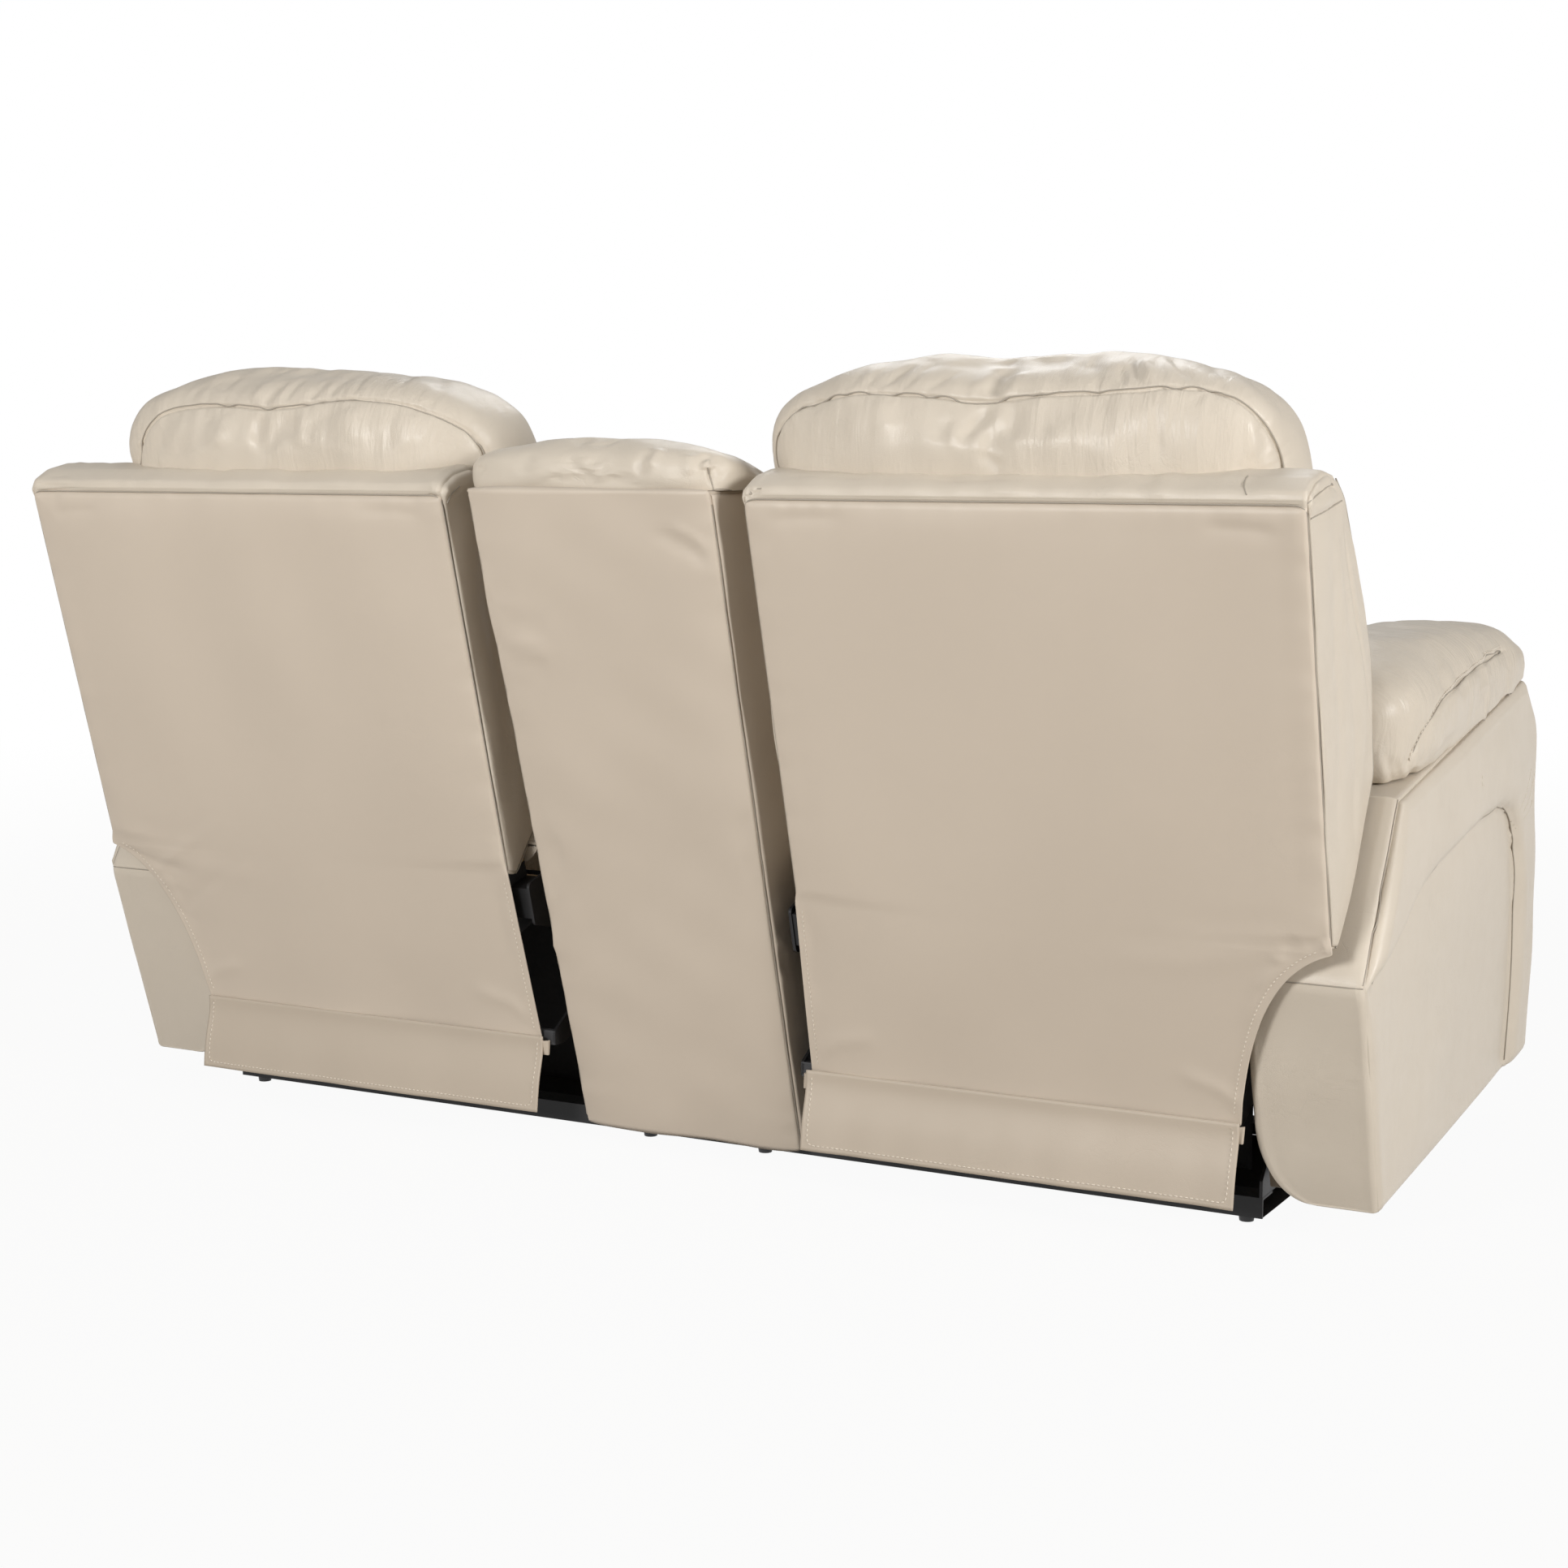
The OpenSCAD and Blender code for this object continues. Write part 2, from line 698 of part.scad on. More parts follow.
// Two hinges stand on the console's top behind the lid: a leaf, an upright web and a bored knuckle
module console_hinges() color(black_steel) {
  for (x = hinge_xs)
    yz(x - hinge_half, x + hinge_half)
      difference() {
        union() {
          translate(lid_axis) circle(hinge_barrel_r);
          polygon([
            [lid_axis[0], console_top], [lid_axis[0] + hinge_leaf_w, console_top],
            [lid_axis[0] + hinge_leaf_w, console_top + hinge_leaf_t],
            [lid_axis[0] + hinge_barrel_r, console_top + hinge_leaf_t],
            [lid_axis[0] + hinge_barrel_r, lid_axis[1]], [lid_axis[0], lid_axis[1]]]);
        }
        translate(lid_axis) circle(hinge_pin_r + run_play);
      }
}
module console_lid_pad() color(leather) {
  z0 = lid_z0 + lid_board_t + seat_gap;
  place = function (p)
    let (z = z0 + lid_pad_h * (1 + p[2]) / 2 - lid_pad_fall * p[0] * p[0])
    [p[0] * lid_x, mix(lid_rear_y, deck_split_y + lid_split_gap, (1 + p[1]) / 2), max(z0, z)];
  pillow(place, 0.35, 0.5);
}
module console_deck() color("saddlebrown") {
  difference() {
    box([-console_x + deck_inset, console_front_y + console_edge_r, console_top],
        [console_x - deck_inset, deck_split_y, console_top + deck_t]);
    for (x = cup_xs) translate([x, cup_y, console_top - cut])
      cylinder(r = cup_r + cup_wall + seat_gap, h = deck_t + 2 * cut);
  }
}
module cup_holders() color(zinc) {
  top = console_top + deck_t;
  for (x = cup_xs) translate([x, cup_y, 0])
    difference() {
      union() {
        translate([0, 0, top + cup_wall - cup_depth]) cylinder(r = cup_r + cup_wall, h = cup_depth);
        translate([0, 0, top]) cylinder(r = cup_r + cup_wall + cup_lip, h = cup_wall);
      }
      translate([0, 0, top + 2 * cup_wall - cup_depth]) cylinder(r = cup_r, h = cup_depth);
    }
}

// Seat carriage

module swing_links(side, i) color(zinc) seat(side) both_sides() {
  layer_plate(1, capsule(swing_foot(i), swing_head(i), link_r), [swing_foot(i)]);
  rivet(1, swing_head(i));
}
module left_rear_swing_links() swing_links("left", 0);
module right_rear_swing_links() swing_links("right", 0);
module left_front_swing_links() swing_links("left", 1);
module right_front_swing_links() swing_links("right", 1);

batten_low = [back_foot_y - cloth_t - seat_gap - batten_t, back_foot_z - batten_h / 2];
tail_y = batten_low[0] + batten_t;
seat_plate_outline = rounded(
  [[recline_pivot[0] + recline_boss_w, recline_pivot[1] + recline_boss_h],
   [recline_pivot[0] - plate_rear_cut, box_top],
   [drive_pivot[0] - drive_boss, box_top],
   [drive_pivot[0] - drive_boss, idler_pivot[1] - idler_boss_z],
   [idler_pivot[0] + idler_boss_y, idler_pivot[1] - recline_boss_h],
   [swing_head(1)[0], plate_z0],
   [swing_head(0)[0], plate_z0],
   [tail_y - tail_w, batten_low[1]],
   [tail_y, batten_low[1]],
   [tail_y, batten_low[1] + batten_h],
   [recline_pivot[0] + recline_boss_w, plate_z0 + idler_boss_z]],
  [plate_boss_r, plate_boss_r, plate_boss_r, plate_boss_r, plate_low_r, plate_low_r, plate_boss_r,
   plate_tail_r, plate_tail_r, plate_tail_r, plate_boss_r]);
module seat_plates(side) color(black_steel) seat(side) both_sides() {
  layer_plate(2, seat_plate_outline, [swing_head(0), swing_head(1)]);
  box([arm_in_x - layer_in(2) - flange_w, drive_pivot[0] - drive_boss, box_top],
      [arm_in_x - layer_in(2) + link_t, flange_rear_y, box_top + link_t]);
  for (p = [recline_pivot, drive_pivot, idler_pivot]) rivet(2, p);
}
module left_seat_plates() seat_plates("left");
module right_seat_plates() seat_plates("right");

module seat_frame(side) color(timber) seat(side)
  difference() {
    box([box_x0, -box_front, box_top - box_h], [box_x1, box_rear_y, box_top]);
    box([box_x0 + box_t, box_t - box_front, box_top - box_h - cut],
        [box_x1 - box_t, box_rear_y - box_t, box_top + cut]);
  }
module left_seat_frame() seat_frame("left");
module right_seat_frame() seat_frame("right");

// One sinuous spring: a flat wire that waves from the front rail to the rear rail
function wave_x(t) = spring_swing * sin(360 * spring_waves * t);
module sinuous_spring(x) {
  y0 = spring_seat - box_front;
  y1 = box_rear_y - spring_seat;
  steps = spring_waves * spring_steps;
  side_pts = function (s) [for (i = [0:steps])
    let (t = i / steps,
         slope = 2 * PI * spring_waves * spring_swing * cos(360 * spring_waves * t) / (y1 - y0),
         n = unit([1, -slope]))
    [x + wave_x(t), mix(y0, y1, t)] + s * n * wire_w / 2];
  a = side_pts(1);
  b = side_pts(-1);
  translate([0, 0, box_top]) linear_extrude(wire_w)
    polygon(concat(a, [for (i = [0:steps]) b[steps - i]]));
}
module seat_springs(side) color(zinc) seat(side) {
  x0 = box_x0 + flange_w + 2 * spring_swing;
  x1 = box_x1 - flange_w - 2 * spring_swing;
  for (i = [0:spring_count - 1]) sinuous_spring(mix(x0, x1, i / (spring_count - 1)));
}
module left_seat_springs() seat_springs("left");
module right_seat_springs() seat_springs("right");

module seat_cushion(side) color(leather) seat(side) {
  z0 = box_top + wire_w + seat_gap;
  place = function (p)
    let (roll = 1 - seat_side_share * p[0] * p[0] - seat_rear_share * pow(max(0, -p[1]), 3),
         groove = 1 - seat_groove_share * exp(-pow((p[1] - seat_groove_place_share) / groove_w_share, 2)),
         z = z0 + (p[2] > 0 ? seat_pad_h * roll * groove * p[2] : 0))
    [mix(console_x + seat_pad_gap, arm_in_x - seat_pad_gap, (1 + p[0]) / 2),
     mix(seat_pad_rear, -seat_pad_front, (1 + p[1]) / 2), max(z0, z)];
  pillow(place, 0.3, 0.42, 12, 28);
}
module left_seat_cushion() seat_cushion("left");
module right_seat_cushion() seat_cushion("right");

// The skirt's top follows the lean of the flap that hangs in front of it
skirt_top_y = back_foot_y + skirt_lap * tan(back_tilt) + 2 * seat_gap;
module skirt(side) color(vinyl) seat(side) {
  yz(console_x + skirt_inner_gap, arm_in_x - flap_outer_gap)
    polygon([
      [skirt_top_y, back_foot_z + skirt_lap],
      [skirt_foot[0] - cloth_t, skirt_foot[1]],
      skirt_foot,
      [skirt_top_y + cloth_t, back_foot_z + skirt_lap]]);
  box([console_x + layer_in(2), batten_low[0], batten_low[1]],
      [arm_in_x - layer_in(2), tail_y, batten_low[1] + batten_h]);
}
module left_skirt() skirt("left");
module right_skirt() skirt("right");

// Reclining back

bracket_outline = rounded(
  [[recline_pivot[0] - bracket_eye, recline_pivot[1] - bracket_eye], back_at(frame_d0, bracket_l0),
   back_at(frame_d0, bracket_l1), back_at(frame_d1, bracket_l1),
   [recline_pivot[0] - bracket_eye, recline_pivot[1] + bracket_eye]],
  [bracket_eye_r, bracket_toe_r, bracket_toe_r, bracket_neck_r, bracket_eye_r]);
bracket_lug_l0 = bracket_l0 + bracket_lug_in;
bracket_lug_l1 = bracket_l1 - bracket_lug_in;
bracket_lug_d0 = frame_d0 + bracket_lug_gap;
bracket_lug_d1 = frame_d1 - bracket_lug_gap;
module back_brackets(side) color(black_steel) seat(side) both_sides() {
  layer_plate(3, bracket_outline, [recline_pivot]);
  yz(frame_x1, arm_in_x - layer_in(3))
    polygon([
      back_at(bracket_lug_d0, bracket_lug_l0), back_at(bracket_lug_d0, bracket_lug_l1),
      back_at(bracket_lug_d1, bracket_lug_l1), back_at(bracket_lug_d1, bracket_lug_l0)]);
}
module left_back_brackets() back_brackets("left");
module right_back_brackets() back_brackets("right");

module back_frame(side) color(timber) seat(side) {
  back_bar(frame_x0, frame_x0 + back_rail_w, frame_foot_l, frame_top_l, frame_d0, frame_d1);
  back_bar(frame_x1 - back_rail_w, frame_x1, frame_foot_l, frame_top_l, frame_d0, frame_d1);
  back_bar(frame_wing_x - back_rail_w, frame_wing_x, frame_wing_l, frame_top_l, frame_d0, frame_d1);
  back_bar(frame_x0, frame_x1, frame_foot_l, frame_foot_l + back_rail_w, frame_d0, frame_d1);
  back_bar(frame_x0, frame_wing_x, frame_mid_l, frame_mid_l + back_rail_w, frame_d0, frame_d1);
  back_bar(frame_x0, frame_wing_x, frame_top_l - back_rail_w, frame_top_l, frame_d0, frame_d1);
}
module left_back_frame() back_frame("left");
module right_back_frame() back_frame("right");

// Gusset outline, drawn with the depth forward and the length up, stood on its place
module gusset(x0, x1, points) {
  on_back() translate([x0, 0, 0]) rotate([90, 0, 90]) linear_extrude(x1 - x0)
    polygon([for (p = points) [-p[0], p[1]]]);
}
wing_inner = grown(wing_corners, -cover_t);
open_front = wing_depth + cut;
module back_cover(side) color(vinyl) seat(side)
  difference() {
    gusset(back_x0, back_x1, wing_outline);
    gusset(back_x0 + cover_t, back_x1 - cover_t, wing_inner);
    on_back() box([back_x0 + cover_t, -open_front, 0], [open_side_x, -cover_t, wing_top_l - cover_t]);
  }
module left_back_cover() back_cover("left");
module right_back_cover() back_cover("right");

module back_cushion(side) color(leather) seat(side) {
  place = function (p)
    let (l = mix(back_pad_l0, back_pad_l1, (1 + p[2]) / 2),
         belly = 1 - back_side_share * p[0] * p[0] - back_groove_share * exp(-pow(p[2] / groove_w_share, 2)),
         d = p[1] > 0 ? mix(frame_d1 + seat_gap, back_pad_d1, p[1] * belly) : frame_d1 + seat_gap)
    [mix(back_pad_x0, back_pad_x1, (1 + p[0]) / 2), back_at(d, l)[0], back_at(d, l)[1]];
  difference() {
    pillow(place, 0.32, 0.45, 12, 28);
    gusset(back_x0 - seat_gap, back_x0 + cover_t + seat_gap, grown(wing_corners, seat_gap));
  }
}
module left_back_cushion() back_cushion("left");
module right_back_cushion() back_cushion("right");

module head_pillow(side) color(leather) seat(side) {
  place = function (p)
    let (z = head_mid[1] + p[2] * head_h / 2)
    [mix(head_x0, head_x1, (1 + p[0]) / 2),
     head_mid[0] + (z - head_mid[1]) * tan(back_tilt) - p[1] * head_depth / 2, z];
  difference() {
    pillow(place, 0.55, 0.7, 14, 24);
    gusset(head_x0 - cut, head_x1 + cut, grown(wing_corners, seat_gap));
  }
}
module left_head_pillow() head_pillow("left");
module right_head_pillow() head_pillow("right");

// Cloth flap between the back's foot and the seat: its outer edge is cut in a curve round the arm
flap_top_l = wing_foot_l - seat_gap - cloth_t / 2;
flap_points = concat(
  [[flap_foot_x0, 0], [back_x0, flap_top_l], [back_x1, flap_top_l]],
  curve(
    [back_x1, flap_top_l - flap_edge], [flap_foot_x1 + flap_bow, wing_foot_l * flap_bow_share],
    [flap_foot_x1, 0], 10));
module back_flap(side) color(vinyl) seat(side)
  on_back() rotate([90, 0, 0]) linear_extrude(cloth_t) polygon(flap_points);
module left_back_flap() back_flap("left");
module right_back_flap() back_flap("right");

// Footrest linkage

module drive_links(side) color(zinc) seat(side) both_sides() {
  layer_plate(3, capsule(drive_pivot, lower_joint, link_r), [drive_pivot]);
  rivet(3, lower_joint);
  rivet(3, upper_joint);
}
module left_drive_links() drive_links("left");
module right_drive_links() drive_links("right");

module idler_links(side) color(zinc) seat(side) both_sides() {
  layer_plate(3, capsule(idler_pivot, idler_joint, link_r), [idler_pivot]);
  rivet(3, idler_joint);
}
module left_idler_links() idler_links("left");
module right_idler_links() idler_links("right");

module lower_carriers(side) color(zinc) seat(side) both_sides() {
  difference() {
    layer_plate(4, capsule(idler_joint, lower_tip, link_r), [lower_joint]);
    x_rod(idler_joint, arm_in_x - layer_in(4) - cut, arm_in_x, pin_r + open_play);
  }
  rivet(4, lower_tip);
}
module left_lower_carriers() lower_carriers("left");
module right_lower_carriers() lower_carriers("right");

module upper_carriers(side) color(zinc) seat(side) both_sides() {
  layer_plate(4, capsule(upper_joint, upper_tip, link_r), [upper_joint]);
  rivet(4, upper_tip);
}
module left_upper_carriers() upper_carriers("left");
module right_upper_carriers() upper_carriers("right");

footrest_bracket_outline = rounded(
  [[board_y, foot_bracket_z0],
   [lower_tip[0] + foot_bracket_reach, lower_tip[1] - foot_bracket_reach],
   [lower_tip[0] + foot_bracket_reach, lower_tip[1] + foot_bracket_up],
   [upper_tip[0] + foot_bracket_reach, upper_tip[1] + foot_bracket_up],
   [board_y, upper_tip[1] + foot_bracket_rise]],
  [0, foot_bracket_up, foot_bracket_up, foot_bracket_up, 0]);
module footrest_brackets(side) color(black_steel) seat(side) both_sides() {
  difference() {
    layer_plate(5, footrest_bracket_outline, [lower_tip]);
    x_rod(upper_tip, arm_in_x - layer_in(5) - cut, arm_in_x, pin_r + open_play);
  }
  box([arm_in_x - layer_in(5) - bracket_flange_w, board_y, foot_bracket_z0],
      [arm_in_x - layer_in(5) + link_t, board_y + bracket_flange_t, upper_tip[1] + foot_bracket_rise]);
}
module left_footrest_brackets() footrest_brackets("left");
module right_footrest_brackets() footrest_brackets("right");

module footrest_board(side) color(timber) seat(side)
  box([console_x + board_side_gap, board_y - board_t, footrest_z0],
      [arm_in_x - board_side_gap, board_y, footrest_z1]);
module left_footrest_board() footrest_board("left");
module right_footrest_board() footrest_board("right");

module footrest_pad(side) color(leather) seat(side) {
  y0 = board_y - board_t - seat_gap;
  place = function (p)
    [mix(console_x + board_side_gap, arm_in_x - board_side_gap, (1 + p[0]) / 2),
     p[1] > 0 ? mix(y0, front_y, p[1] * (1 - footrest_side_share * p[0] * p[0])) : y0,
     mix(footrest_z0 - footrest_pad_under, footrest_z1 + footrest_pad_out, (1 + p[2]) / 2)];
  pillow(place, 0.3, 0.4);
}
module left_footrest_pad() footrest_pad("left");
module right_footrest_pad() footrest_pad("right");

cross_rails();
feet();
base_plates();
arm_frames();
left_arm_cover();
right_arm_cover();
left_arm_pillow();
right_arm_pillow();
release_bezels();
left_release_lever();
right_release_lever();
console_body();
console_bin();
console_back();
console_cap();
console_lid();
console_lid_pad();
console_hinges();
console_deck();
cup_holders();
left_rear_swing_links();
left_front_swing_links();
left_seat_plates();
left_seat_frame();
left_seat_springs();
left_seat_cushion();
left_skirt();
left_back_brackets();
left_back_frame();
left_back_cover();
left_back_cushion();
left_head_pillow();
left_back_flap();
left_drive_links();
left_idler_links();
left_lower_carriers();
left_upper_carriers();
left_footrest_brackets();
left_footrest_board();
left_footrest_pad();
right_rear_swing_links();
right_front_swing_links();
right_seat_plates();
right_seat_frame();
right_seat_springs();
right_seat_cushion();
right_skirt();
right_back_brackets();
right_back_frame();
right_back_cover();
right_back_cushion();
right_head_pillow();
right_back_flap();
right_drive_links();
right_idler_links();
right_lower_carriers();
right_upper_carriers();
right_footrest_brackets();
right_footrest_board();
right_footrest_pad();
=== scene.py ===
"""Dresses the reclining console loveseat: upholstery, seams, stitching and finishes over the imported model."""
import math

import bpy
import numpy as np
from mathutils import Euler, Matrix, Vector
from mathutils.bvhtree import BVHTree


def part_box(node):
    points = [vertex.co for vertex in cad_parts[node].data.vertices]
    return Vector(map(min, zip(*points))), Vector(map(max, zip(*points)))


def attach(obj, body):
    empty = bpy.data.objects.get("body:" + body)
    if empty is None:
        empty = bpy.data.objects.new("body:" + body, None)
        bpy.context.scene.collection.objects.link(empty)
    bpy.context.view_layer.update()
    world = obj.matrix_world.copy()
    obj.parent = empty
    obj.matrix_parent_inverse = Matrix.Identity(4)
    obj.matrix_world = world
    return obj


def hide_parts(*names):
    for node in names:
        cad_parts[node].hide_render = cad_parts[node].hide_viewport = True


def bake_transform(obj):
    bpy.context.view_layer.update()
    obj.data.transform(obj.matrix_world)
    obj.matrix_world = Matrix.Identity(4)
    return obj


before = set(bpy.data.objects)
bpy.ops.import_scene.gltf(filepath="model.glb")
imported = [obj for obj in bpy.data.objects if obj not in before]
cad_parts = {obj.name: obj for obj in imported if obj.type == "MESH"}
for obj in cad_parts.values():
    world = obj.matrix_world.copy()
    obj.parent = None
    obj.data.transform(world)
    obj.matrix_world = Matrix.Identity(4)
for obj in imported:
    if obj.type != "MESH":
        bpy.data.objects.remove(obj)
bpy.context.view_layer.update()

bl_info = {
    "name": "Console Loveseat Upholstery",
    "version": (1, 0, 0),
    "blender": (4, 5, 0),
    "location": "3D View > Sidebar > Loveseat",
    "description": "Builds the soft covers, cushions, seams and finishes of a reclining console loveseat",
    "category": "Object",
}

# Lengths below are in millimetres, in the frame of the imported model. put() writes a mesh in metres.
MM = 0.001

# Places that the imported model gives
TILT = math.radians(15.35)
BACK_FOOT = (310.0, 144.0)
ARM_IN_X, ARM_OUT_X = 790.0, 940.0
BACK_X0, BACK_X1 = 217.0, 906.0
BACK_TOP = 770.5
FLAP_X0, FLAP_X1 = 208.0, 783.0
SKIRT_X0, SKIRT_X1, SKIRT_Z0, SKIRT_Z1 = 203.0, 783.0, 45.0, 147.0
SEAT_LOW = 336.3
SLAB_TILT = math.radians(16.44)
SLAB_FOOT = (262.0, 23.0)
SLAB_TOP_Z = 894.0
SLAB_DEPTH = 160.0 / math.cos(SLAB_TILT)

# How far up the back's slope the flap leaves the cover, and where it has come to hang from the carriage
FLAP_TOP, FLAP_HUNG = 244.0, 115.0
# Unit coordinate past which a point of a block is on its face, and the inset of a rounded edge's middle
ON_FACE = 0.999
ROUND_INSET = 1 - 1 / math.sqrt(2)
MIRROR = (-1, 1, 1)
# Points whose distances are worked out at one time
CHUNK = 6000

# The camera: its place in metres, its angles, and the photograph's side in pixels
EYE = (-1.7213, 3.2601, 0.9540)
EYE_ANGLES = (math.radians(82.53), 0.0, math.radians(207.8))
LENS, SENSOR, PHOTO_SIDE = 60.12, 36.0, 1932


# Small tools for numbers

def mix(a, b, t):
    return a + (b - a) * t


def smooth(t):
    t = np.clip(t, 0, 1)
    return t * t * (3 - 2 * t)


def ripple(at, waves, seed):
    """Smooth noise of one value: waves lists (length, height)."""
    source = np.random.default_rng(seed)
    total = np.zeros_like(at)
    for length, height in waves:
        for _ in range(3):
            stretch = length * source.uniform(0.7, 1.4)
            total += height / 1.7 * np.cos(2 * np.pi * at / stretch + source.uniform(0, 2 * np.pi))
    return total


def unevenness(places, waves, seed):
    """Smooth noise in space: waves lists (length, height)."""
    source = np.random.default_rng(seed)
    total = np.zeros(len(places))
    for length, height in waves:
        for _ in range(5):
            way = source.normal(size=3)
            way *= 2 * np.pi / length / np.linalg.norm(way)
            total += height / 2.2 * np.cos(places @ way + source.uniform(0, 2 * np.pi))
    return total


def rounded_path(corners, radii):
    """A polyline with its inner corners filleted. radii has one value for each corner."""
    pts = [np.array(p, float) for p in corners]
    made = []
    for i, (p, r) in enumerate(zip(pts, radii)):
        if r <= 0 or i in (0, len(pts) - 1):
            made.append(p)
            continue
        u, v = pts[i - 1] - p, pts[i + 1] - p
        lu, lv = np.linalg.norm(u), np.linalg.norm(v)
        u, v = u / lu, v / lv
        half = math.acos(max(-1, min(1, float(u @ v)))) / 2
        reach = min(r / math.tan(half), 0.48 * lu, 0.48 * lv)
        a, b = p + u * reach, p + v * reach
        for t in np.arange(7) / 6:
            made.append((1 - t) ** 2 * a + 2 * t * (1 - t) * p + t * t * b)
    return np.array(made)


def along(path, t):
    """Points at shares t of a polyline's length."""
    path = np.asarray(path, float)
    steps = np.linalg.norm(np.diff(path, axis=0), axis=1)
    run = np.concatenate([[0], np.cumsum(steps)])
    at = np.asarray(t) * run[-1]
    return np.stack([np.interp(at, run, path[:, k]) for k in range(path.shape[1])], -1)


def spread(path, step):
    """A polyline resampled at about one step."""
    length = np.linalg.norm(np.diff(path, axis=0), axis=1).sum()
    return along(path, np.linspace(0, 1, max(2, int(length / step) + 1)))


def nearest(points, a, d):
    """For segments from a along d: each point's distance to the nearest, its number, and the share along it.

    The last value is the length of every segment."""
    size = np.maximum((d * d).sum(1), 1e-12)
    gap, which, share = np.empty(len(points)), np.empty(len(points), int), np.empty(len(points))
    for i in range(0, len(points), CHUNK):
        p, part = points[i:i + CHUNK], slice(i, i + CHUNK)
        t = np.clip(((p[:, None] - a[None]) * d[None]).sum(-1) / size, 0, 1)
        away = np.linalg.norm(p[:, None] - (a[None] + t[..., None] * d[None]), axis=-1)
        k, rows = away.argmin(1), np.arange(len(p))
        gap[part], which[part], share[part] = away[rows, k], k, t[rows, k]
    return gap, which, share, np.sqrt(size)


def to_path(places, path):
    """Distance of each place to a polyline, and how far along it the nearest point lies."""
    path = np.asarray(path, float)
    distance, k, share, length = nearest(places, path[:-1], np.diff(path, axis=0))
    return distance, np.concatenate([[0], np.cumsum(length)])[k] + share * length[k]


def inside(points2, loop):
    """Which points lie in a closed outline."""
    x, y = points2[:, 0], points2[:, 1]
    found = np.zeros(len(points2), bool)
    for (x0, y0), (x1, y1) in zip(loop, np.roll(loop, -1, axis=0)):
        if y0 == y1:
            continue
        hit = ((y0 > y) != (y1 > y)) & (x < (x1 - x0) * (y - y0) / (y1 - y0) + x0)
        found ^= hit
    return found


def outward(loop, points2):
    """For points near a counter-clockwise outline: distance to it, the nearest point, the normal there."""
    d = np.roll(loop, -1, axis=0) - loop
    gap, k, share, length = nearest(points2, loop, d)
    side = np.stack([d[:, 1], -d[:, 0]], -1) / length[:, None]
    at_corner = side + np.roll(side, 1, axis=0)
    at_corner /= np.linalg.norm(at_corner, axis=1)[:, None]
    share = share[:, None]
    n = at_corner[k] * (1 - share) + at_corner[(k + 1) % len(loop)] * share
    return gap, loop[k] + share * d[k], n / np.linalg.norm(n, axis=1)[:, None]


def crowd(c, k=0.75):
    """Turns -1..1 into 0..1 with more stations near both ends."""
    t = (c + 1) / 2
    return t - k * np.sin(2 * np.pi * t) / (2 * np.pi)


def span(low, high, c):
    """Turns -1..1 into low..high."""
    return mix(low, high, (1 + c) / 2)


def swell(gap, height, reach):
    """Rises with the distance from a seam."""
    return height * (1 - np.exp(-gap / reach))


def dip(gap, height, width):
    """A rounded groove or ridge along the line that gap is measured from."""
    return height * np.exp(-(gap / width) ** 2)


def at_x(x, line):
    """Points of y and z, set at one x."""
    return np.insert(np.asarray(line, float), 0, x, axis=1)


# Frames of the leaning pieces

def back_at(x, d, l):
    """d is the depth forward from the back's rear face, l the length up its slope."""
    x, d, l = np.broadcast_arrays(x, d, l)
    return np.stack([x, BACK_FOOT[0] + l * math.sin(TILT) - d * math.cos(TILT),
                     BACK_FOOT[1] + l * math.cos(TILT) + d * math.sin(TILT)], -1)


def back_dl(places):
    y, z = places[:, 1] - BACK_FOOT[0], places[:, 2] - BACK_FOOT[1]
    return np.stack([z * math.sin(TILT) - y * math.cos(TILT), y * math.sin(TILT) + z * math.cos(TILT)], -1)


def slab_rear(z):
    return SLAB_FOOT[0] + (z - SLAB_FOOT[1]) * math.tan(SLAB_TILT)


def arm_top_line(y):
    return 535 + (628 - 535) * (y - 216) / (-425 - 216)


# Small tools for meshes

def deselect():
    if bpy.context.object and bpy.context.object.mode != "OBJECT":
        bpy.ops.object.mode_set(mode="OBJECT")
    bpy.ops.object.select_all(action="DESELECT")


def pick(piece):
    deselect()
    piece.select_set(True)
    bpy.context.view_layer.objects.active = piece


def named(name):
    piece = bpy.context.object
    piece.name = piece.data.name = name
    return piece


def cube_start(name, cuts):
    """A cube of many quads, from -1 to 1, to be shaped."""
    deselect()
    bpy.ops.mesh.primitive_cube_add(size=2, calc_uvs=False)
    bpy.ops.object.mode_set(mode="EDIT")
    bpy.ops.mesh.select_all(action="SELECT")
    bpy.ops.mesh.subdivide(number_cuts=cuts)
    bpy.ops.object.mode_set(mode="OBJECT")
    return named(name)


def grid_start(name, across, up):
    """A grid from -1 to 1, to be shaped into a sheet."""
    deselect()
    bpy.ops.mesh.primitive_grid_add(x_subdivisions=across, y_subdivisions=up, size=2, calc_uvs=False)
    return named(name)


def places(piece):
    flat = np.empty(len(piece.data.vertices) * 3, np.float32)
    piece.data.vertices.foreach_get("co", flat)
    return flat.reshape(-1, 3).astype(float) / MM


def put(piece, at):
    piece.data.vertices.foreach_set("co", (np.asarray(at, float) * MM).astype(np.float32).ravel())
    piece.data.update()


def normals(piece):
    flat = np.empty(len(piece.data.vertices) * 3, np.float32)
    piece.data.vertices.foreach_get("normal", flat)
    return flat.reshape(-1, 3).astype(float)


def raise_by(piece, height):
    """Moves a surface along its normals."""
    put(piece, places(piece) + normals(piece) * np.asarray(height)[:, None])


def keep_above(piece, level):
    """Lifts the points that lie below a level onto it."""
    p = places(piece)
    p[:, 2] = np.maximum(p[:, 2], level)
    put(piece, p)


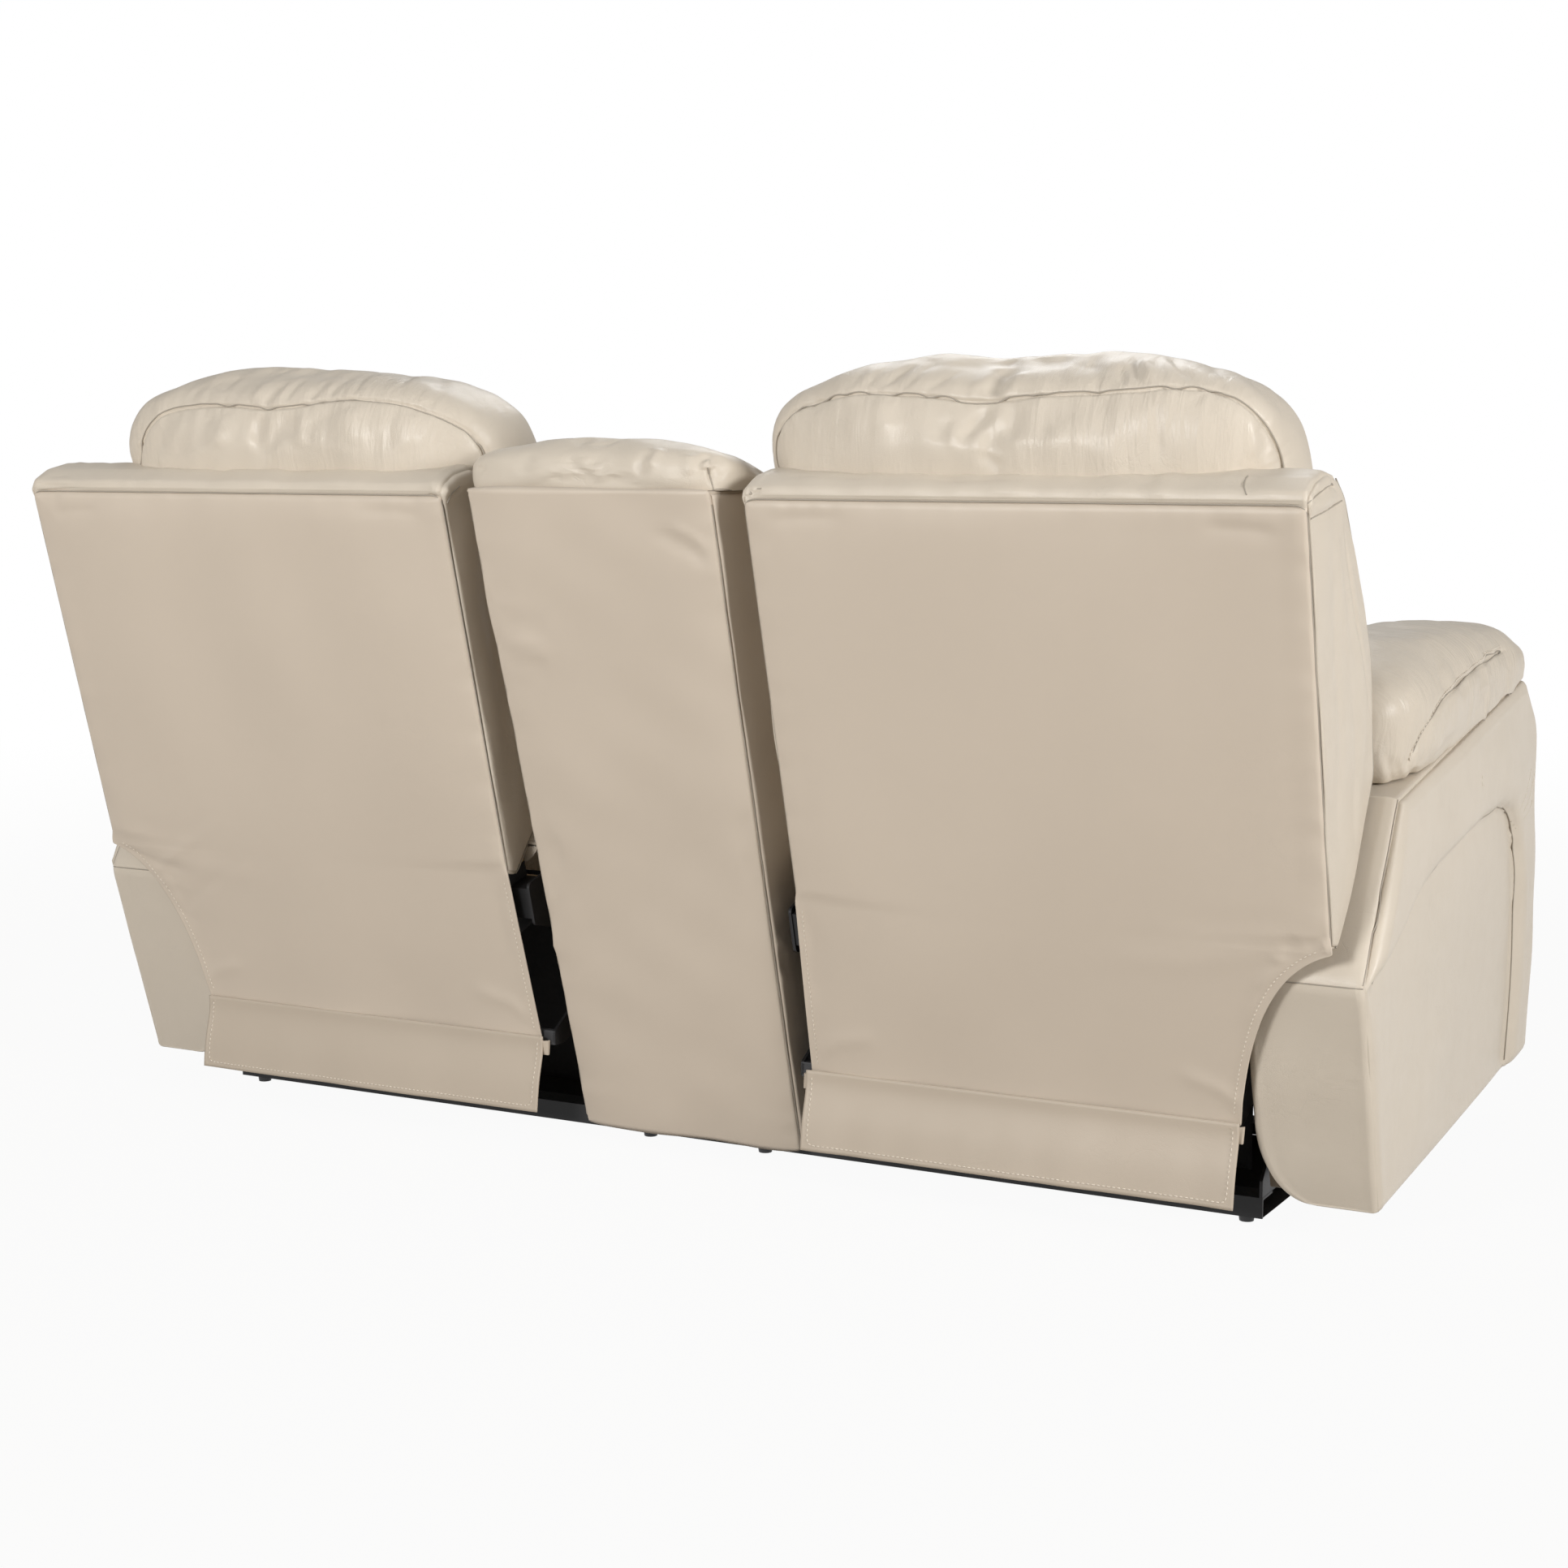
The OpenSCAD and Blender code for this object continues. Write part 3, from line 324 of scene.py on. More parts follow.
def face_out(piece):
    pick(piece)
    bpy.ops.object.mode_set(mode="EDIT")
    bpy.ops.mesh.select_all(action="SELECT")
    bpy.ops.mesh.normals_make_consistent(inside=False)
    bpy.ops.object.mode_set(mode="OBJECT")
    bpy.ops.object.shade_smooth()


def face_rear(sheet):
    face_out(sheet)
    if normals(sheet)[:, 1].mean() < 0:
        sheet.data.flip_normals()


def apply(piece, kind, **settings):
    pick(piece)
    modifier = piece.modifiers.new(kind.title(), kind)
    for key, value in settings.items():
        setattr(modifier, key, value)
    bpy.ops.object.modifier_apply(modifier=modifier.name)


def twin(piece, name):
    """The same piece for the other side, with its own mesh."""
    copy = piece.copy()
    copy.data = piece.data.copy()
    bpy.context.scene.collection.objects.link(copy)
    copy.name = copy.data.name = name
    put(copy, places(copy) * MIRROR)
    copy.data.flip_normals()
    copy.data.update()
    return copy


FILLING_STEPS = 20
FILLING = {"quality": 4, "mass": 0.3, "tension_stiffness": 12, "compression_stiffness": 12,
           "shear_stiffness": 4, "bending_stiffness": 0.4, "use_pressure": True, "uniform_pressure_force": 4.0}


def inflate(piece, cap, held=None):
    """Fills a closed piece with air as cloth. No point moves further than cap. held points stay in place."""
    rest = places(piece)
    pick(piece)
    modifier = piece.modifiers.new("Filling", "CLOTH")
    cloth = modifier.settings
    for key, value in FILLING.items():
        setattr(cloth, key, value)
    cloth.effector_weights.gravity = 0
    modifier.collision_settings.use_collision = False
    if held is not None:
        piece.vertex_groups.new(name="held").add(np.nonzero(held)[0].tolist(), 1.0, "REPLACE")
        cloth.vertex_group_mass = "held"
    modifier.point_cache.frame_start, modifier.point_cache.frame_end = 1, FILLING_STEPS
    for step in range(1, FILLING_STEPS + 1):
        bpy.context.scene.frame_set(step)
    bpy.ops.object.modifier_apply(modifier=modifier.name)
    bpy.context.scene.frame_set(1)
    piece.vertex_groups.clear()
    move = places(piece) - rest
    size = np.linalg.norm(move, axis=1)
    size[~np.isfinite(size)] = 0
    move[~np.isfinite(move)] = 0
    put(piece, rest + move * np.minimum(1, cap / np.maximum(size, 1e-6))[:, None])


def pillow_form(unit, end_soft, round_soft):
    """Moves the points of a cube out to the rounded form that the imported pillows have."""
    x, y, z = np.abs(unit).T + 1e-9
    around = (y ** (2 / round_soft) + z ** (2 / round_soft)) ** (round_soft / end_soft)
    return unit * ((x ** (2 / end_soft) + around) ** (-end_soft / 2))[:, None]


def pillow(name, place, end_soft, round_soft, cuts, cap, held=None):
    """A filled pillow. place lays it out in the scene, held picks the points that the filling leaves alone."""
    piece = cube_start(name, cuts)
    put(piece, place(pillow_form(places(piece) * MM, end_soft, round_soft)))
    face_out(piece)
    inflate(piece, cap, held and held(places(piece)))
    apply(piece, "SUBSURF", levels=1, render_levels=1)
    return piece


def side_block(name, edges, x0, x1, radius, cuts, stations=None):
    """An upholstered block: a side outline of four edges (low, front, top, rear) between two x places.

    Its long edges are rounded by radius. Returns the piece, the x of each point and its place in the side
    outline, its distance to the side plane and to the outline, and its unit coordinates."""
    piece = cube_start(name, cuts)
    c = places(piece) * MM
    low, front, top, rear = edges
    s, t = crowd(c[:, 1]), crowd(c[:, 2])
    x = mix(x0, x1, crowd(c[:, 0])) if stations is None else np.interp((c[:, 0] + 1) / 2, *stations)
    s1, t1 = s[:, None], t[:, None]
    at = ((1 - t1) * along(low, s) + t1 * along(top, s) + (1 - s1) * along(rear, t) + s1 * along(front, t)
          - (1 - s1) * (1 - t1) * low[0] - s1 * (1 - t1) * low[-1]
          - (1 - s1) * t1 * top[0] - s1 * t1 * top[-1])
    share = np.linspace(0, 1, 40)
    loop = np.concatenate([along(low, share)[:-1], along(front, share)[:-1],
                           along(top, share)[::-1][:-1], along(rear, share)[::-1][:-1]])
    turn = np.cross(loop - loop.mean(0), np.roll(loop, -1, axis=0) - loop.mean(0)).sum()
    if turn < 0:
        loop = loop[::-1]
    b, near, n = outward(loop, at)
    on_tube = (np.abs(c[:, 1]) > 0.9999) | (np.abs(c[:, 2]) > 0.9999)
    b[on_tube] = 0
    sx = np.sign(c[:, 0])
    plane = np.where(sx > 0, x1, x0)
    a = np.abs(plane - x)
    close = (a < radius) & (b < radius)
    w = np.stack([radius - a, radius - b], -1)[close]
    w /= np.linalg.norm(w, axis=1)[:, None]
    x[close] = (plane - sx * radius)[close] + sx[close] * radius * w[:, 0]
    core = near[close] - radius * n[close]
    at[close] = core + radius * n[close] * w[:, 1:]
    return piece, x, at, a, b, c


def ridge(at, path, height, width, ends=0.3):
    """A soft ridge, or a crease where height is negative, that fades at both ends."""
    path = np.asarray(path, float)
    total = np.zeros(len(at))
    near = ((at > path.min(0) - 3.5 * width) & (at < path.max(0) + 3.5 * width)).all(1)
    if near.any():
        distance, arc = to_path(at[near], path)
        whole = np.linalg.norm(np.diff(path, axis=0), axis=1).sum()
        fade = smooth(np.minimum(arc, whole - arc) / (ends * whole + 1e-6))
        total[near] = height * np.exp(-(distance / width) ** 2) * fade
    return total


def seam(at, path, puff, reach, depth, width):
    """The cover swells beside a seam and dips at it."""
    distance, _ = to_path(at, path)
    return swell(distance, puff, reach) - dip(distance, depth, width)


def gathers(at, path, height, reach, waves, seed, sharp=True):
    """Small folds that run away from a seam, rounded on top and sharp below."""
    distance, arc = to_path(at, path)
    wave = ripple(arc, waves, seed)
    if sharp:
        wave = np.abs(wave) ** 0.75 - 0.5
    return height * wave * np.exp(-distance / reach) * (1 - np.exp(-(distance / 4) ** 2))


class Skin:
    """A finished surface that lines are laid on."""

    def __init__(self, piece):
        self.tree = BVHTree.FromObject(piece, bpy.context.evaluated_depsgraph_get())
        self.middle = sum((Vector(corner) for corner in piece.bound_box), Vector()) / 8

    def hug(self, path, lift=0.0, step=8.0):
        """A path laid on the surface, lifted by lift."""
        made = []
        for p in spread(np.asarray(path, float), step):
            spot, n, _, _ = self.tree.find_nearest(Vector(p * MM))
            made.append(np.array(spot) / MM + np.array(n) * lift)
        return np.array(made)

    def laid(self, lines, lift, step, times):
        return [soften(self.hug(line, lift, step), times) for line in lines]

    def traced(self, pixels, lift=0.0, step=5.0):
        """A line read off the photograph, as pixels, laid on the surface that it is on."""
        focal = LENS / SENSOR * PHOTO_SIDE
        turn, eye = Euler(EYE_ANGLES).to_matrix(), Vector(EYE)
        made = []
        for u, v in soften(spread(np.asarray(pixels, float), step), 2):
            way = turn @ Vector(((u - PHOTO_SIDE / 2) / focal, (PHOTO_SIDE / 2 - v) / focal, -1.0)).normalized()
            spot, n, _, _ = self.tree.ray_cast(eye, way)
            if spot is None:
                spot, n, _, _ = self.tree.find_nearest(eye + way * (self.middle - eye).dot(way))
            made.append(np.array(spot) / MM + np.array(n) * lift)
        return soften(made, 1)

    def folds(self, at, table, strength):
        """The height of the folds in a table of (pixels, height, width)."""
        total = np.zeros(len(at))
        for pixels, height, width in table:
            total += ridge(at, self.traced(pixels), height * strength, width)
        return total

def soften(path, times=2):
    path = np.array(path, float)
    for _ in range(times):
        path[1:-1] = (path[:-2] + 2 * path[1:-1] + path[2:]) / 4
    return path


def seam_cords(name, paths, body, slot_name):
    """Thin round cords along paths, as one mesh: the folded edges in seams, darkened to paint the seams'
    shadow.
    """
    deselect()
    line = bpy.data.curves.new(name, "CURVE")
    line.dimensions = "3D"
    line.bevel_depth = sizes().piping
    line.bevel_resolution = 3
    line.use_fill_caps = True
    for path in paths:
        run = line.splines.new("POLY")
        run.points.add(len(path) - 1)
        run.points.foreach_set("co", np.concatenate([path * MM, np.ones((len(path), 1))], 1).ravel())
    piece = bpy.data.objects.new(name, line)
    bpy.context.scene.collection.objects.link(piece)
    pick(piece)
    bpy.ops.object.convert(target="MESH")
    piece = named(name)
    face_out(piece)
    wear(piece, "seam_edge", body, slot_name)


def stitching(name, paths, body, slot_name, length=4.4, radius=0.85):
    """One stitch is modelled, and repeated along the paths as one mesh."""
    deselect()
    bpy.ops.mesh.primitive_uv_sphere_add(segments=6, ring_count=4, radius=1, calc_uvs=False)
    one = bpy.context.object
    bead = places(one) * MM
    faces = [tuple(f.vertices) for f in one.data.polygons]
    bpy.data.objects.remove(one)
    points, shapes = [], []
    for path in paths:
        spots = spread(path, mm(sizes().stitch_pitch))
        for p, q in zip(spots[:-1], spots[1:]):
            way = (q - p) / max(np.linalg.norm(q - p), 1e-9)
            side = np.cross(way, (0.3, 0.2, 0.93))
            side /= np.linalg.norm(side)
            up = np.cross(way, side)
            start = len(points) * len(bead)
            points.append((p + q) / 2 + bead[:, 2:] * way * length / 2
                          + bead[:, :1] * side * radius + bead[:, 1:2] * up * radius)
            shapes += [tuple(start + i for i in f) for f in faces]
    mesh = bpy.data.meshes.new(name)
    mesh.from_pydata((np.concatenate(points) * MM).tolist(), [], shapes)
    piece = bpy.data.objects.new(name, mesh)
    bpy.context.scene.collection.objects.link(piece)
    face_out(piece)
    return wear(piece, "thread", body, slot_name)


# Materials

class Link:
    """A shader socket that can stand in a sum."""

    def __init__(self, paint, socket):
        self.paint, self.socket = paint, socket

    def __add__(self, other):
        return self.paint.sum("ADD", self, other)

    def __sub__(self, other):
        return self.paint.sum("SUBTRACT", self, other)

    def __rsub__(self, other):
        return self.paint.sum("SUBTRACT", other, self)

    def __mul__(self, other):
        return self.paint.sum("MULTIPLY", self, other)

    def __abs__(self):
        return self.paint.sum("ABSOLUTE", self)

    __radd__ = __add__

    def between(self, low, high):
        """0 at low, 1 at high, smooth in between."""
        return self.paint.node("ShaderNodeMapRange", {"interpolation_type": "SMOOTHSTEP"},
                               {"Value": self, "From Min": low, "From Max": high})


class Paint:
    """A material made of nodes."""

    def __init__(self, name):
        self.material = bpy.data.materials.new(name)
        self.material.use_nodes = True
        self.tree = self.material.node_tree
        self.tree.nodes.clear()
        self.shader = self.tree.nodes.new("ShaderNodeBsdfPrincipled")
        self.end = self.tree.nodes.new("ShaderNodeOutputMaterial")
        self.tree.links.new(self.shader.outputs[0], self.end.inputs["Surface"])
        self.at = self.node("ShaderNodeTexCoord", out="Object")

    def feed(self, socket, value):
        if isinstance(value, Link):
            self.tree.links.new(value.socket, socket)
        else:
            socket.default_value = value

    def node(self, kind, settings=None, values=None, out=0):
        made = self.tree.nodes.new(kind)
        for key, value in (settings or {}).items():
            if key == "stops":
                for i, (place, colour) in enumerate(value):
                    stop = made.color_ramp.elements[i] if i < 2 else made.color_ramp.elements.new(place)
                    stop.position, stop.color = place, (*colour, 1)
            else:
                setattr(made, key, value)
        for key, value in (values or {}).items():
            self.feed(made.inputs[key], value)
        return Link(self, made.outputs[out])

    def sum(self, operation, *values):
        return self.node("ShaderNodeMath", {"operation": operation}, dict(enumerate(values)))

    def blend(self, share, a, b):
        a, b = [v if isinstance(v, Link) else (*v, 1) for v in (a, b)]
        return self.node("ShaderNodeMix", {"data_type": "RGBA"}, {0: share, 6: a, 7: b}, out=2)

    def stretch(self, scale, turn=(0, 0, 0)):
        return self.node("ShaderNodeMapping", {}, {"Vector": self.at, "Scale": scale, "Rotation": turn})

    def noise(self, scale, detail, at=None, distortion=0.0, roughness=0.5):
        return self.node("ShaderNodeTexNoise", {}, {"Vector": at or self.at, "Scale": scale, "Detail": detail,
                                                    "Distortion": distortion, "Roughness": roughness})

    def cells(self, scale, feature):
        return self.node("ShaderNodeTexVoronoi", {"feature": feature}, {"Vector": self.at, "Scale": scale},
                         out="Distance")

    def bump(self, height, depth, strength, under=None):
        values = {"Height": height, "Distance": depth, "Strength": strength}
        if under is not None:
            values["Normal"] = under
        return self.node("ShaderNodeBump", {}, values)

    def done(self, colour, rough, normal, **constants):
        for name, value in (("Base Color", colour), ("Roughness", rough), ("Normal", normal)):
            self.feed(self.shader.inputs[name], value)
        for key, value in constants.items():
            self.shader.inputs[key.replace("_", " ")].default_value = value
        return self.material


def shade(colour, by):
    return tuple(min(1.0, c * by) for c in colour)


def hide_paint(name, colour, rough, pebble, sheen, wrinkle=None):
    """Leather or vinyl: pebble is the grain's strength, rough the mean roughness.

    wrinkle is (scale, strength) of fine wrinkles: they run across the axis with the largest scale."""
    p = Paint(name)
    broad = p.noise(4.5, 2.0)
    cloud = p.noise(34, 4.0)
    grain = p.cells(640, "DISTANCE_TO_EDGE").between(0.0, 0.09)
    fine = p.noise(1500, 2.0)
    crease = 1 - abs(p.noise(19, 5.0, distortion=0.9, roughness=0.62) - 0.5).between(0.0, 0.03)
    crease = crease * p.noise(6, 2.0).between(0.45, 0.68)
    tone = p.blend(broad.between(0.3, 0.7), shade(colour, 0.988), shade(colour, 1.014))
    tone = p.blend(cloud.between(0.35, 0.75) * 0.22 * pebble, tone, shade(colour, 0.95))
    # Darker between the grain's pebbles, and painted shade along the fine creases
    tone = p.blend((1 - grain) * 0.10 * pebble + crease * 0.08 * pebble, tone, shade(colour, 0.74))
    gloss = rough + (cloud - 0.5) * 0.12 + (1 - grain) * 0.08 * pebble
    height = grain * 0.45 * pebble + fine * 0.2 + cloud * 0.35 * pebble - crease * 0.8 * pebble
    normal = p.bump(height, 0.00045, 0.5)
    if wrinkle is not None:
        scale, strength = wrinkle
        folds = p.noise(1.0, 3.0, at=p.stretch(scale), distortion=0.5, roughness=0.55)
        where = p.noise(5.0, 1.0).between(0.3, 0.62)
        normal = p.bump(folds * where, 0.0032, strength, under=normal)
        # Painted shade in the hollows of the wrinkles
        tone = p.blend((1 - folds.between(0.3, 0.5)) * where * 0.10, tone, shade(colour, 0.86))
    return p.done(tone, gloss, normal, Specular_IOR_Level=0.45, Sheen_Weight=sheen, Sheen_Roughness=0.5)


def wood_paint(name, colour, dark, gloss, along_axis):
    p = Paint(name)
    scale = [46, 46, 46]
    scale[along_axis] = 3.2
    at = p.stretch(tuple(scale))
    rings = p.noise(1.0, 4.0, at=at, distortion=0.6)
    pores = p.noise(9.0, 2.0, at=at)
    tone = p.node("ShaderNodeValToRGB", {"stops": [(0.30, dark), (0.68, colour), (1.0, shade(colour, 1.08))]},
                  {"Fac": rings})
    tone = p.blend(pores.between(0.62, 0.8) * 0.45, tone, shade(dark, 0.7))
    return p.done(tone, gloss + pores * 0.12, p.bump(rings * 0.6 + pores * 0.4, 0.0004, 0.35))


def metal_paint(name, colour, metal, rough, wear, speckle):
    p = Paint(name)
    cloud = p.noise(24, 4.0)
    grit = p.noise(900, 2.0)
    scuff = p.noise(60, 5.0, at=p.stretch((1, 6, 1), (0.3, 0.2, 0.5)))
    tone = p.blend(cloud.between(0.3, 0.7), shade(colour, 0.86), shade(colour, 1.1))
    tone = p.blend(scuff.between(0.62, 0.74) * wear, tone, shade(colour, 1.9))
    gloss = rough + (cloud - 0.5) * 0.2 + grit * speckle
    return p.done(tone, gloss, p.bump(grit, 0.0002, 0.25), Metallic=metal)


def plastic_paint(name, colour):
    p = Paint(name)
    cloud = p.noise(18, 3.0)
    grit = p.cells(1100, "F1")
    tone = p.blend(cloud.between(0.3, 0.7), shade(colour, 0.85), shade(colour, 1.2))
    return p.done(tone, 0.5 + (cloud - 0.5) * 0.15, p.bump(grit, 0.0002, 0.3))


def thread_paint(name, colour):
    p = Paint(name)
    twist = p.node("ShaderNodeTexWave", {"bands_direction": "DIAGONAL"}, {"Vector": p.at, "Scale": 900.0})
    tone = p.blend(twist * 0.5, shade(colour, 1.04), shade(colour, 0.8))
    return p.done(tone, 0.6 + twist * 0.15, p.bump(twist, 0.0001, 0.4))


def lining_paint(name, colour):
    """Thin black spunbond cloth with its pressed dot pattern."""
    p = Paint(name)
    fibres = p.noise(700, 3.0, at=p.stretch((1, 1, 0.3), (0, 0.5, 0)))
    dots = p.cells(420, "F1").between(0.25, 0.5)
    cloud = p.noise(16, 3.0)
    tone = p.blend(fibres * 0.6 + cloud * 0.3, shade(colour, 0.7), shade(colour, 1.7))
    return p.done(tone, 0.85 + (cloud - 0.5) * 0.1, p.bump(dots * 0.6 + fibres * 0.4, 0.0002, 0.5))


def floor_paint(name, colour):
    """The floor shows near white to the camera and keeps the sofa's shadow."""
    p = Paint(name)
    grit = p.noise(3.0, 3.0)
    p.feed(p.shader.inputs["Base Color"], p.blend(grit * 0.06, colour, shade(colour, 0.94)))
    p.shader.inputs["Roughness"].default_value = 0.95
    p.shader.inputs["Specular IOR Level"].default_value = 0.1
    path = p.tree.nodes.new("ShaderNodeLightPath")
    seen = Link(p, path.outputs["Is Camera Ray"]) + Link(p, path.outputs["Is Glossy Ray"])
    seen = p.sum("MINIMUM", seen + Link(p, path.outputs["Is Transmission Ray"]), 1.0)
    glow = p.tree.nodes.new("ShaderNodeEmission")
    glow.inputs["Strength"].default_value = 1.0
    join = p.tree.nodes.new("ShaderNodeMixShader")
    far = p.node("ShaderNodeVectorMath", {"operation": "LENGTH"}, {0: p.at}, out="Value").between(1.6, 5.5)
    p.feed(join.inputs[0], seen * (0.945 + far * 0.055))
    p.tree.links.new(p.shader.outputs[0], join.inputs[1])
    p.tree.links.new(glow.outputs[0], join.inputs[2])
    p.tree.links.new(join.outputs[0], p.end.inputs["Surface"])
    return p.material


FINISHES = {}
SIDES = ("left", "right")


def sign_of(side):
    return 1 if side == "left" else -1


def wear(piece, finish, body, slot_name=None):
    """Gives a piece its material and its body. slot_name is not used."""
    piece.data.materials.clear()
    piece.data.materials.append(FINISHES[finish])
    if body is not None:
        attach(piece, body)
    slot_name or finish
    return piece


def upholster(piece, part, finish, body, slot_name=None):
    """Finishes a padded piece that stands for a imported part."""
    wear(piece, finish, body, slot_name)
    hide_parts(part)


# Settings that a user would change

def length_prop(name, about, default):
    return bpy.props.FloatProperty(name=name, description=about, default=default, min=0.0, soft_max=0.1,
                                   subtype="DISTANCE", unit="LENGTH", precision=4)


def colour_prop(name, about, default):
    return bpy.props.FloatVectorProperty(name=name, description=about, default=default, size=3, min=0.0,
                                         max=1.0, subtype="COLOR")


class LoveseatSizes(bpy.types.PropertyGroup):
    edge_round: length_prop("Edge Rounding", "Radius of the padded edges beside the seams", 0.0065)
    panel_puff: length_prop("Panel Puff", "How far the flat rear panels swell between their seams", 0.006)
    cushion_swell: length_prop("Cushion Swell", "Most that the filling moves a cushion's cover", 0.022)
    pillow_swell: length_prop("Pillow Swell", "Most that the filling moves a head or arm pillow", 0.014)
    # Radius of the seam cords: folded edges in a darkened leather that paints the seams' shadow
    piping: length_prop("Seam Fold", "Radius of the folded edge that shows in a seam", 0.0009)
    stitch_pitch: length_prop("Stitch Pitch", "Distance from one stitch to the next", 0.0066)
    cloth: length_prop("Cloth Thickness", "Thickness of the rear panels, flaps and skirts", 0.0024)
    crease: bpy.props.FloatProperty(name="Creasing", description="Strength of the folds and gathers",
                                    default=1.0, min=0.0, soft_max=2.0, subtype="FACTOR")


class LoveseatColours(bpy.types.PropertyGroup):
    leather: colour_prop("Leather", "Seats, pillows and arms", (0.69, 0.613, 0.510))
    vinyl: colour_prop("Vinyl", "Rear panels and flaps", (0.64, 0.553, 0.455))
    # The skirts' colour is the rear vinyl darkened: painted shade for the less light that reaches them low down
    # by the floor
    skirt: colour_prop("Skirt Vinyl", "The skirts, cut from a slightly darker vinyl", (0.52, 0.443, 0.355))
    thread: colour_prop("Thread", "Topstitching", (0.76, 0.69, 0.59))
    timber: colour_prop("Timber", "Inner frames", (0.62, 0.44, 0.25))
    walnut: colour_prop("Walnut", "Console deck and lid board", (0.20, 0.10, 0.05))
    steel: colour_prop("Black Steel", "Rails, plates and brackets", (0.018, 0.018, 0.019))
    zinc: colour_prop("Zinc", "Links, pins and springs", (0.55, 0.56, 0.58))
    plastic: colour_prop("Black Plastic", "Feet, storage bin and levers", (0.03, 0.03, 0.032))
    lining: colour_prop("Lining", "Black dust cloth under the seats", (0.014, 0.014, 0.015))
    floor: colour_prop("Floor", "The studio floor", (0.38, 0.345, 0.30))


def sizes():
    return bpy.context.scene.loveseat_sizes


def mm(value):
    return value / MM


class LOVESEAT_OT_stage(bpy.types.Operator):
    """Makes the floor, the lamps, the surroundings and the camera"""
    bl_idname = "loveseat.stage"
    bl_label = "Stage"

    def execute(self, context):
        scene = context.scene
        deselect()
        bpy.ops.mesh.primitive_plane_add(size=40, location=(0, 0, -0.001))
        floor = named("floor")
        floor.data.materials.append(floor_paint("floor", scene.loveseat_colours.floor))
        for name, spot, aim, size, watts in (
                ("key_lamp", (-4.4, 1.1, 1.8), (-0.4, 0.2, 0.75), 1.1, 111),
                ("rear_lamp", (0.6, 4.9, 1.9), (0, 0.3, 0.75), 1.2, 130),
                ("front_lamp", (1.4, -3.8, 4.0), (0, 0, 0.5), 2.6, 66)):
            deselect()
            bpy.ops.object.light_add(type="AREA", location=spot)
            lamp = bpy.context.object
            lamp.name = name
            lamp.data.energy, lamp.data.shape, lamp.data.size = watts, "DISK", size
            lamp.rotation_euler = (Vector(aim) - Vector(spot)).to_track_quat("-Z", "Y").to_euler()
        deselect()
        bpy.ops.object.camera_add(location=EYE, rotation=EYE_ANGLES)
        camera = bpy.context.object
        camera.name = "camera"
        camera.data.sensor_width, camera.data.lens = SENSOR, LENS
        camera.data.clip_start, camera.data.clip_end = 0.05, 100
        scene.camera = camera
        world = bpy.data.worlds.new("studio")
        scene.world = world
        world.use_nodes = True
        tree = world.node_tree
        tree.nodes.clear()
        path = tree.nodes.new("ShaderNodeLightPath")
        light, white = tree.nodes.new("ShaderNodeBackground"), tree.nodes.new("ShaderNodeBackground")
        light.inputs["Color"].default_value = (1.0, 0.985, 0.96, 1)
        light.inputs["Strength"].default_value = 0.315
        white.inputs["Color"].default_value = (1, 1, 1, 1)
        white.inputs["Strength"].default_value = 1.0
        join, end = tree.nodes.new("ShaderNodeMixShader"), tree.nodes.new("ShaderNodeOutputWorld")
        tree.links.new(path.outputs["Is Camera Ray"], join.inputs[0])
        tree.links.new(light.outputs[0], join.inputs[1])
        tree.links.new(white.outputs[0], join.inputs[2])
        tree.links.new(join.outputs[0], end.inputs["Surface"])
        scene.view_settings.view_transform = "Standard"
        return {"FINISHED"}


class LOVESEAT_OT_finishes(bpy.types.Operator):
    """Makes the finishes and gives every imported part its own"""
    bl_idname = "loveseat.finishes"
    bl_label = "Finishes"

    def execute(self, context):
        c = context.scene.loveseat_colours
        for maker, name, *look in (
                (hide_paint, "leather", c.leather, 0.38, 1.0, 0.04, ((22, 22, 22), 0.35)),
                (hide_paint, "head_leather", c.leather, 0.35, 1.0, 0.04, ((75, 12, 11), 0.75)),
                (hide_paint, "arm_leather", c.leather, 0.36, 1.0, 0.04, ((12, 95, 14), 0.7)),
                (hide_paint, "matte_vinyl", c.vinyl, 0.47, 0.2, 0.05),
                (hide_paint, "skirt_vinyl", c.skirt, 0.50, 0.25, 0.04),
                # Leather darkened to paint the shadow in the seams, for the seam cords
                (hide_paint, "seam_edge", shade(c.leather, 0.56), 0.6, 0.3, 0.0),
                (thread_paint, "thread", c.thread),
                (wood_paint, "timber", c.timber, shade(c.timber, 0.6), 0.55, 0),
                (wood_paint, "timber_upright", c.timber, shade(c.timber, 0.6), 0.55, 2),
                (wood_paint, "stained_timber", shade(c.timber, 0.16), shade(c.timber, 0.07), 0.6, 2),
                (wood_paint, "walnut", c.walnut, shade(c.walnut, 0.4), 0.28, 1),
                (metal_paint, "black_steel", c.steel, 0.35, 0.42, 0.25, 0.12),
                (metal_paint, "zinc_steel", c.zinc, 0.9, 0.30, 0.10, 0.08),
                (metal_paint, "stainless", shade(c.zinc, 1.15), 1.0, 0.20, 0.05, 0.05),
                (plastic_paint, "black_plastic", c.plastic),
                (lining_paint, "lining", c.lining)):
            FINISHES[name] = maker(name, *look)
        # The first finish with a word that is in a part's name
        words = (
            ("stained_timber", ("arm_frames", "footrest_board")), ("timber_upright", ("back_frame",)),
            ("timber", ("seat_frame",)),
            ("black_steel", ("cross_rails", "base_plates", "bezels", "hinges", "seat_plates", "brackets")),
            ("black_plastic", ("release_lever", "feet", "bin")), ("walnut", ("console_deck", "console_lid")),
            ("stainless", ("cup_holders",)), ("zinc_steel", ("links", "carriers", "springs")),
            ("matte_vinyl", ("skirt", "console_back", "flap", "back_cover")), ("leather", ("",)))
        for name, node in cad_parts.items():
            finish = next(f for f, parts in words if any(part in name for part in parts))
            node.data.materials.clear()
            node.data.materials.append(FINISHES[finish])
        return {"FINISHED"}


# The backs

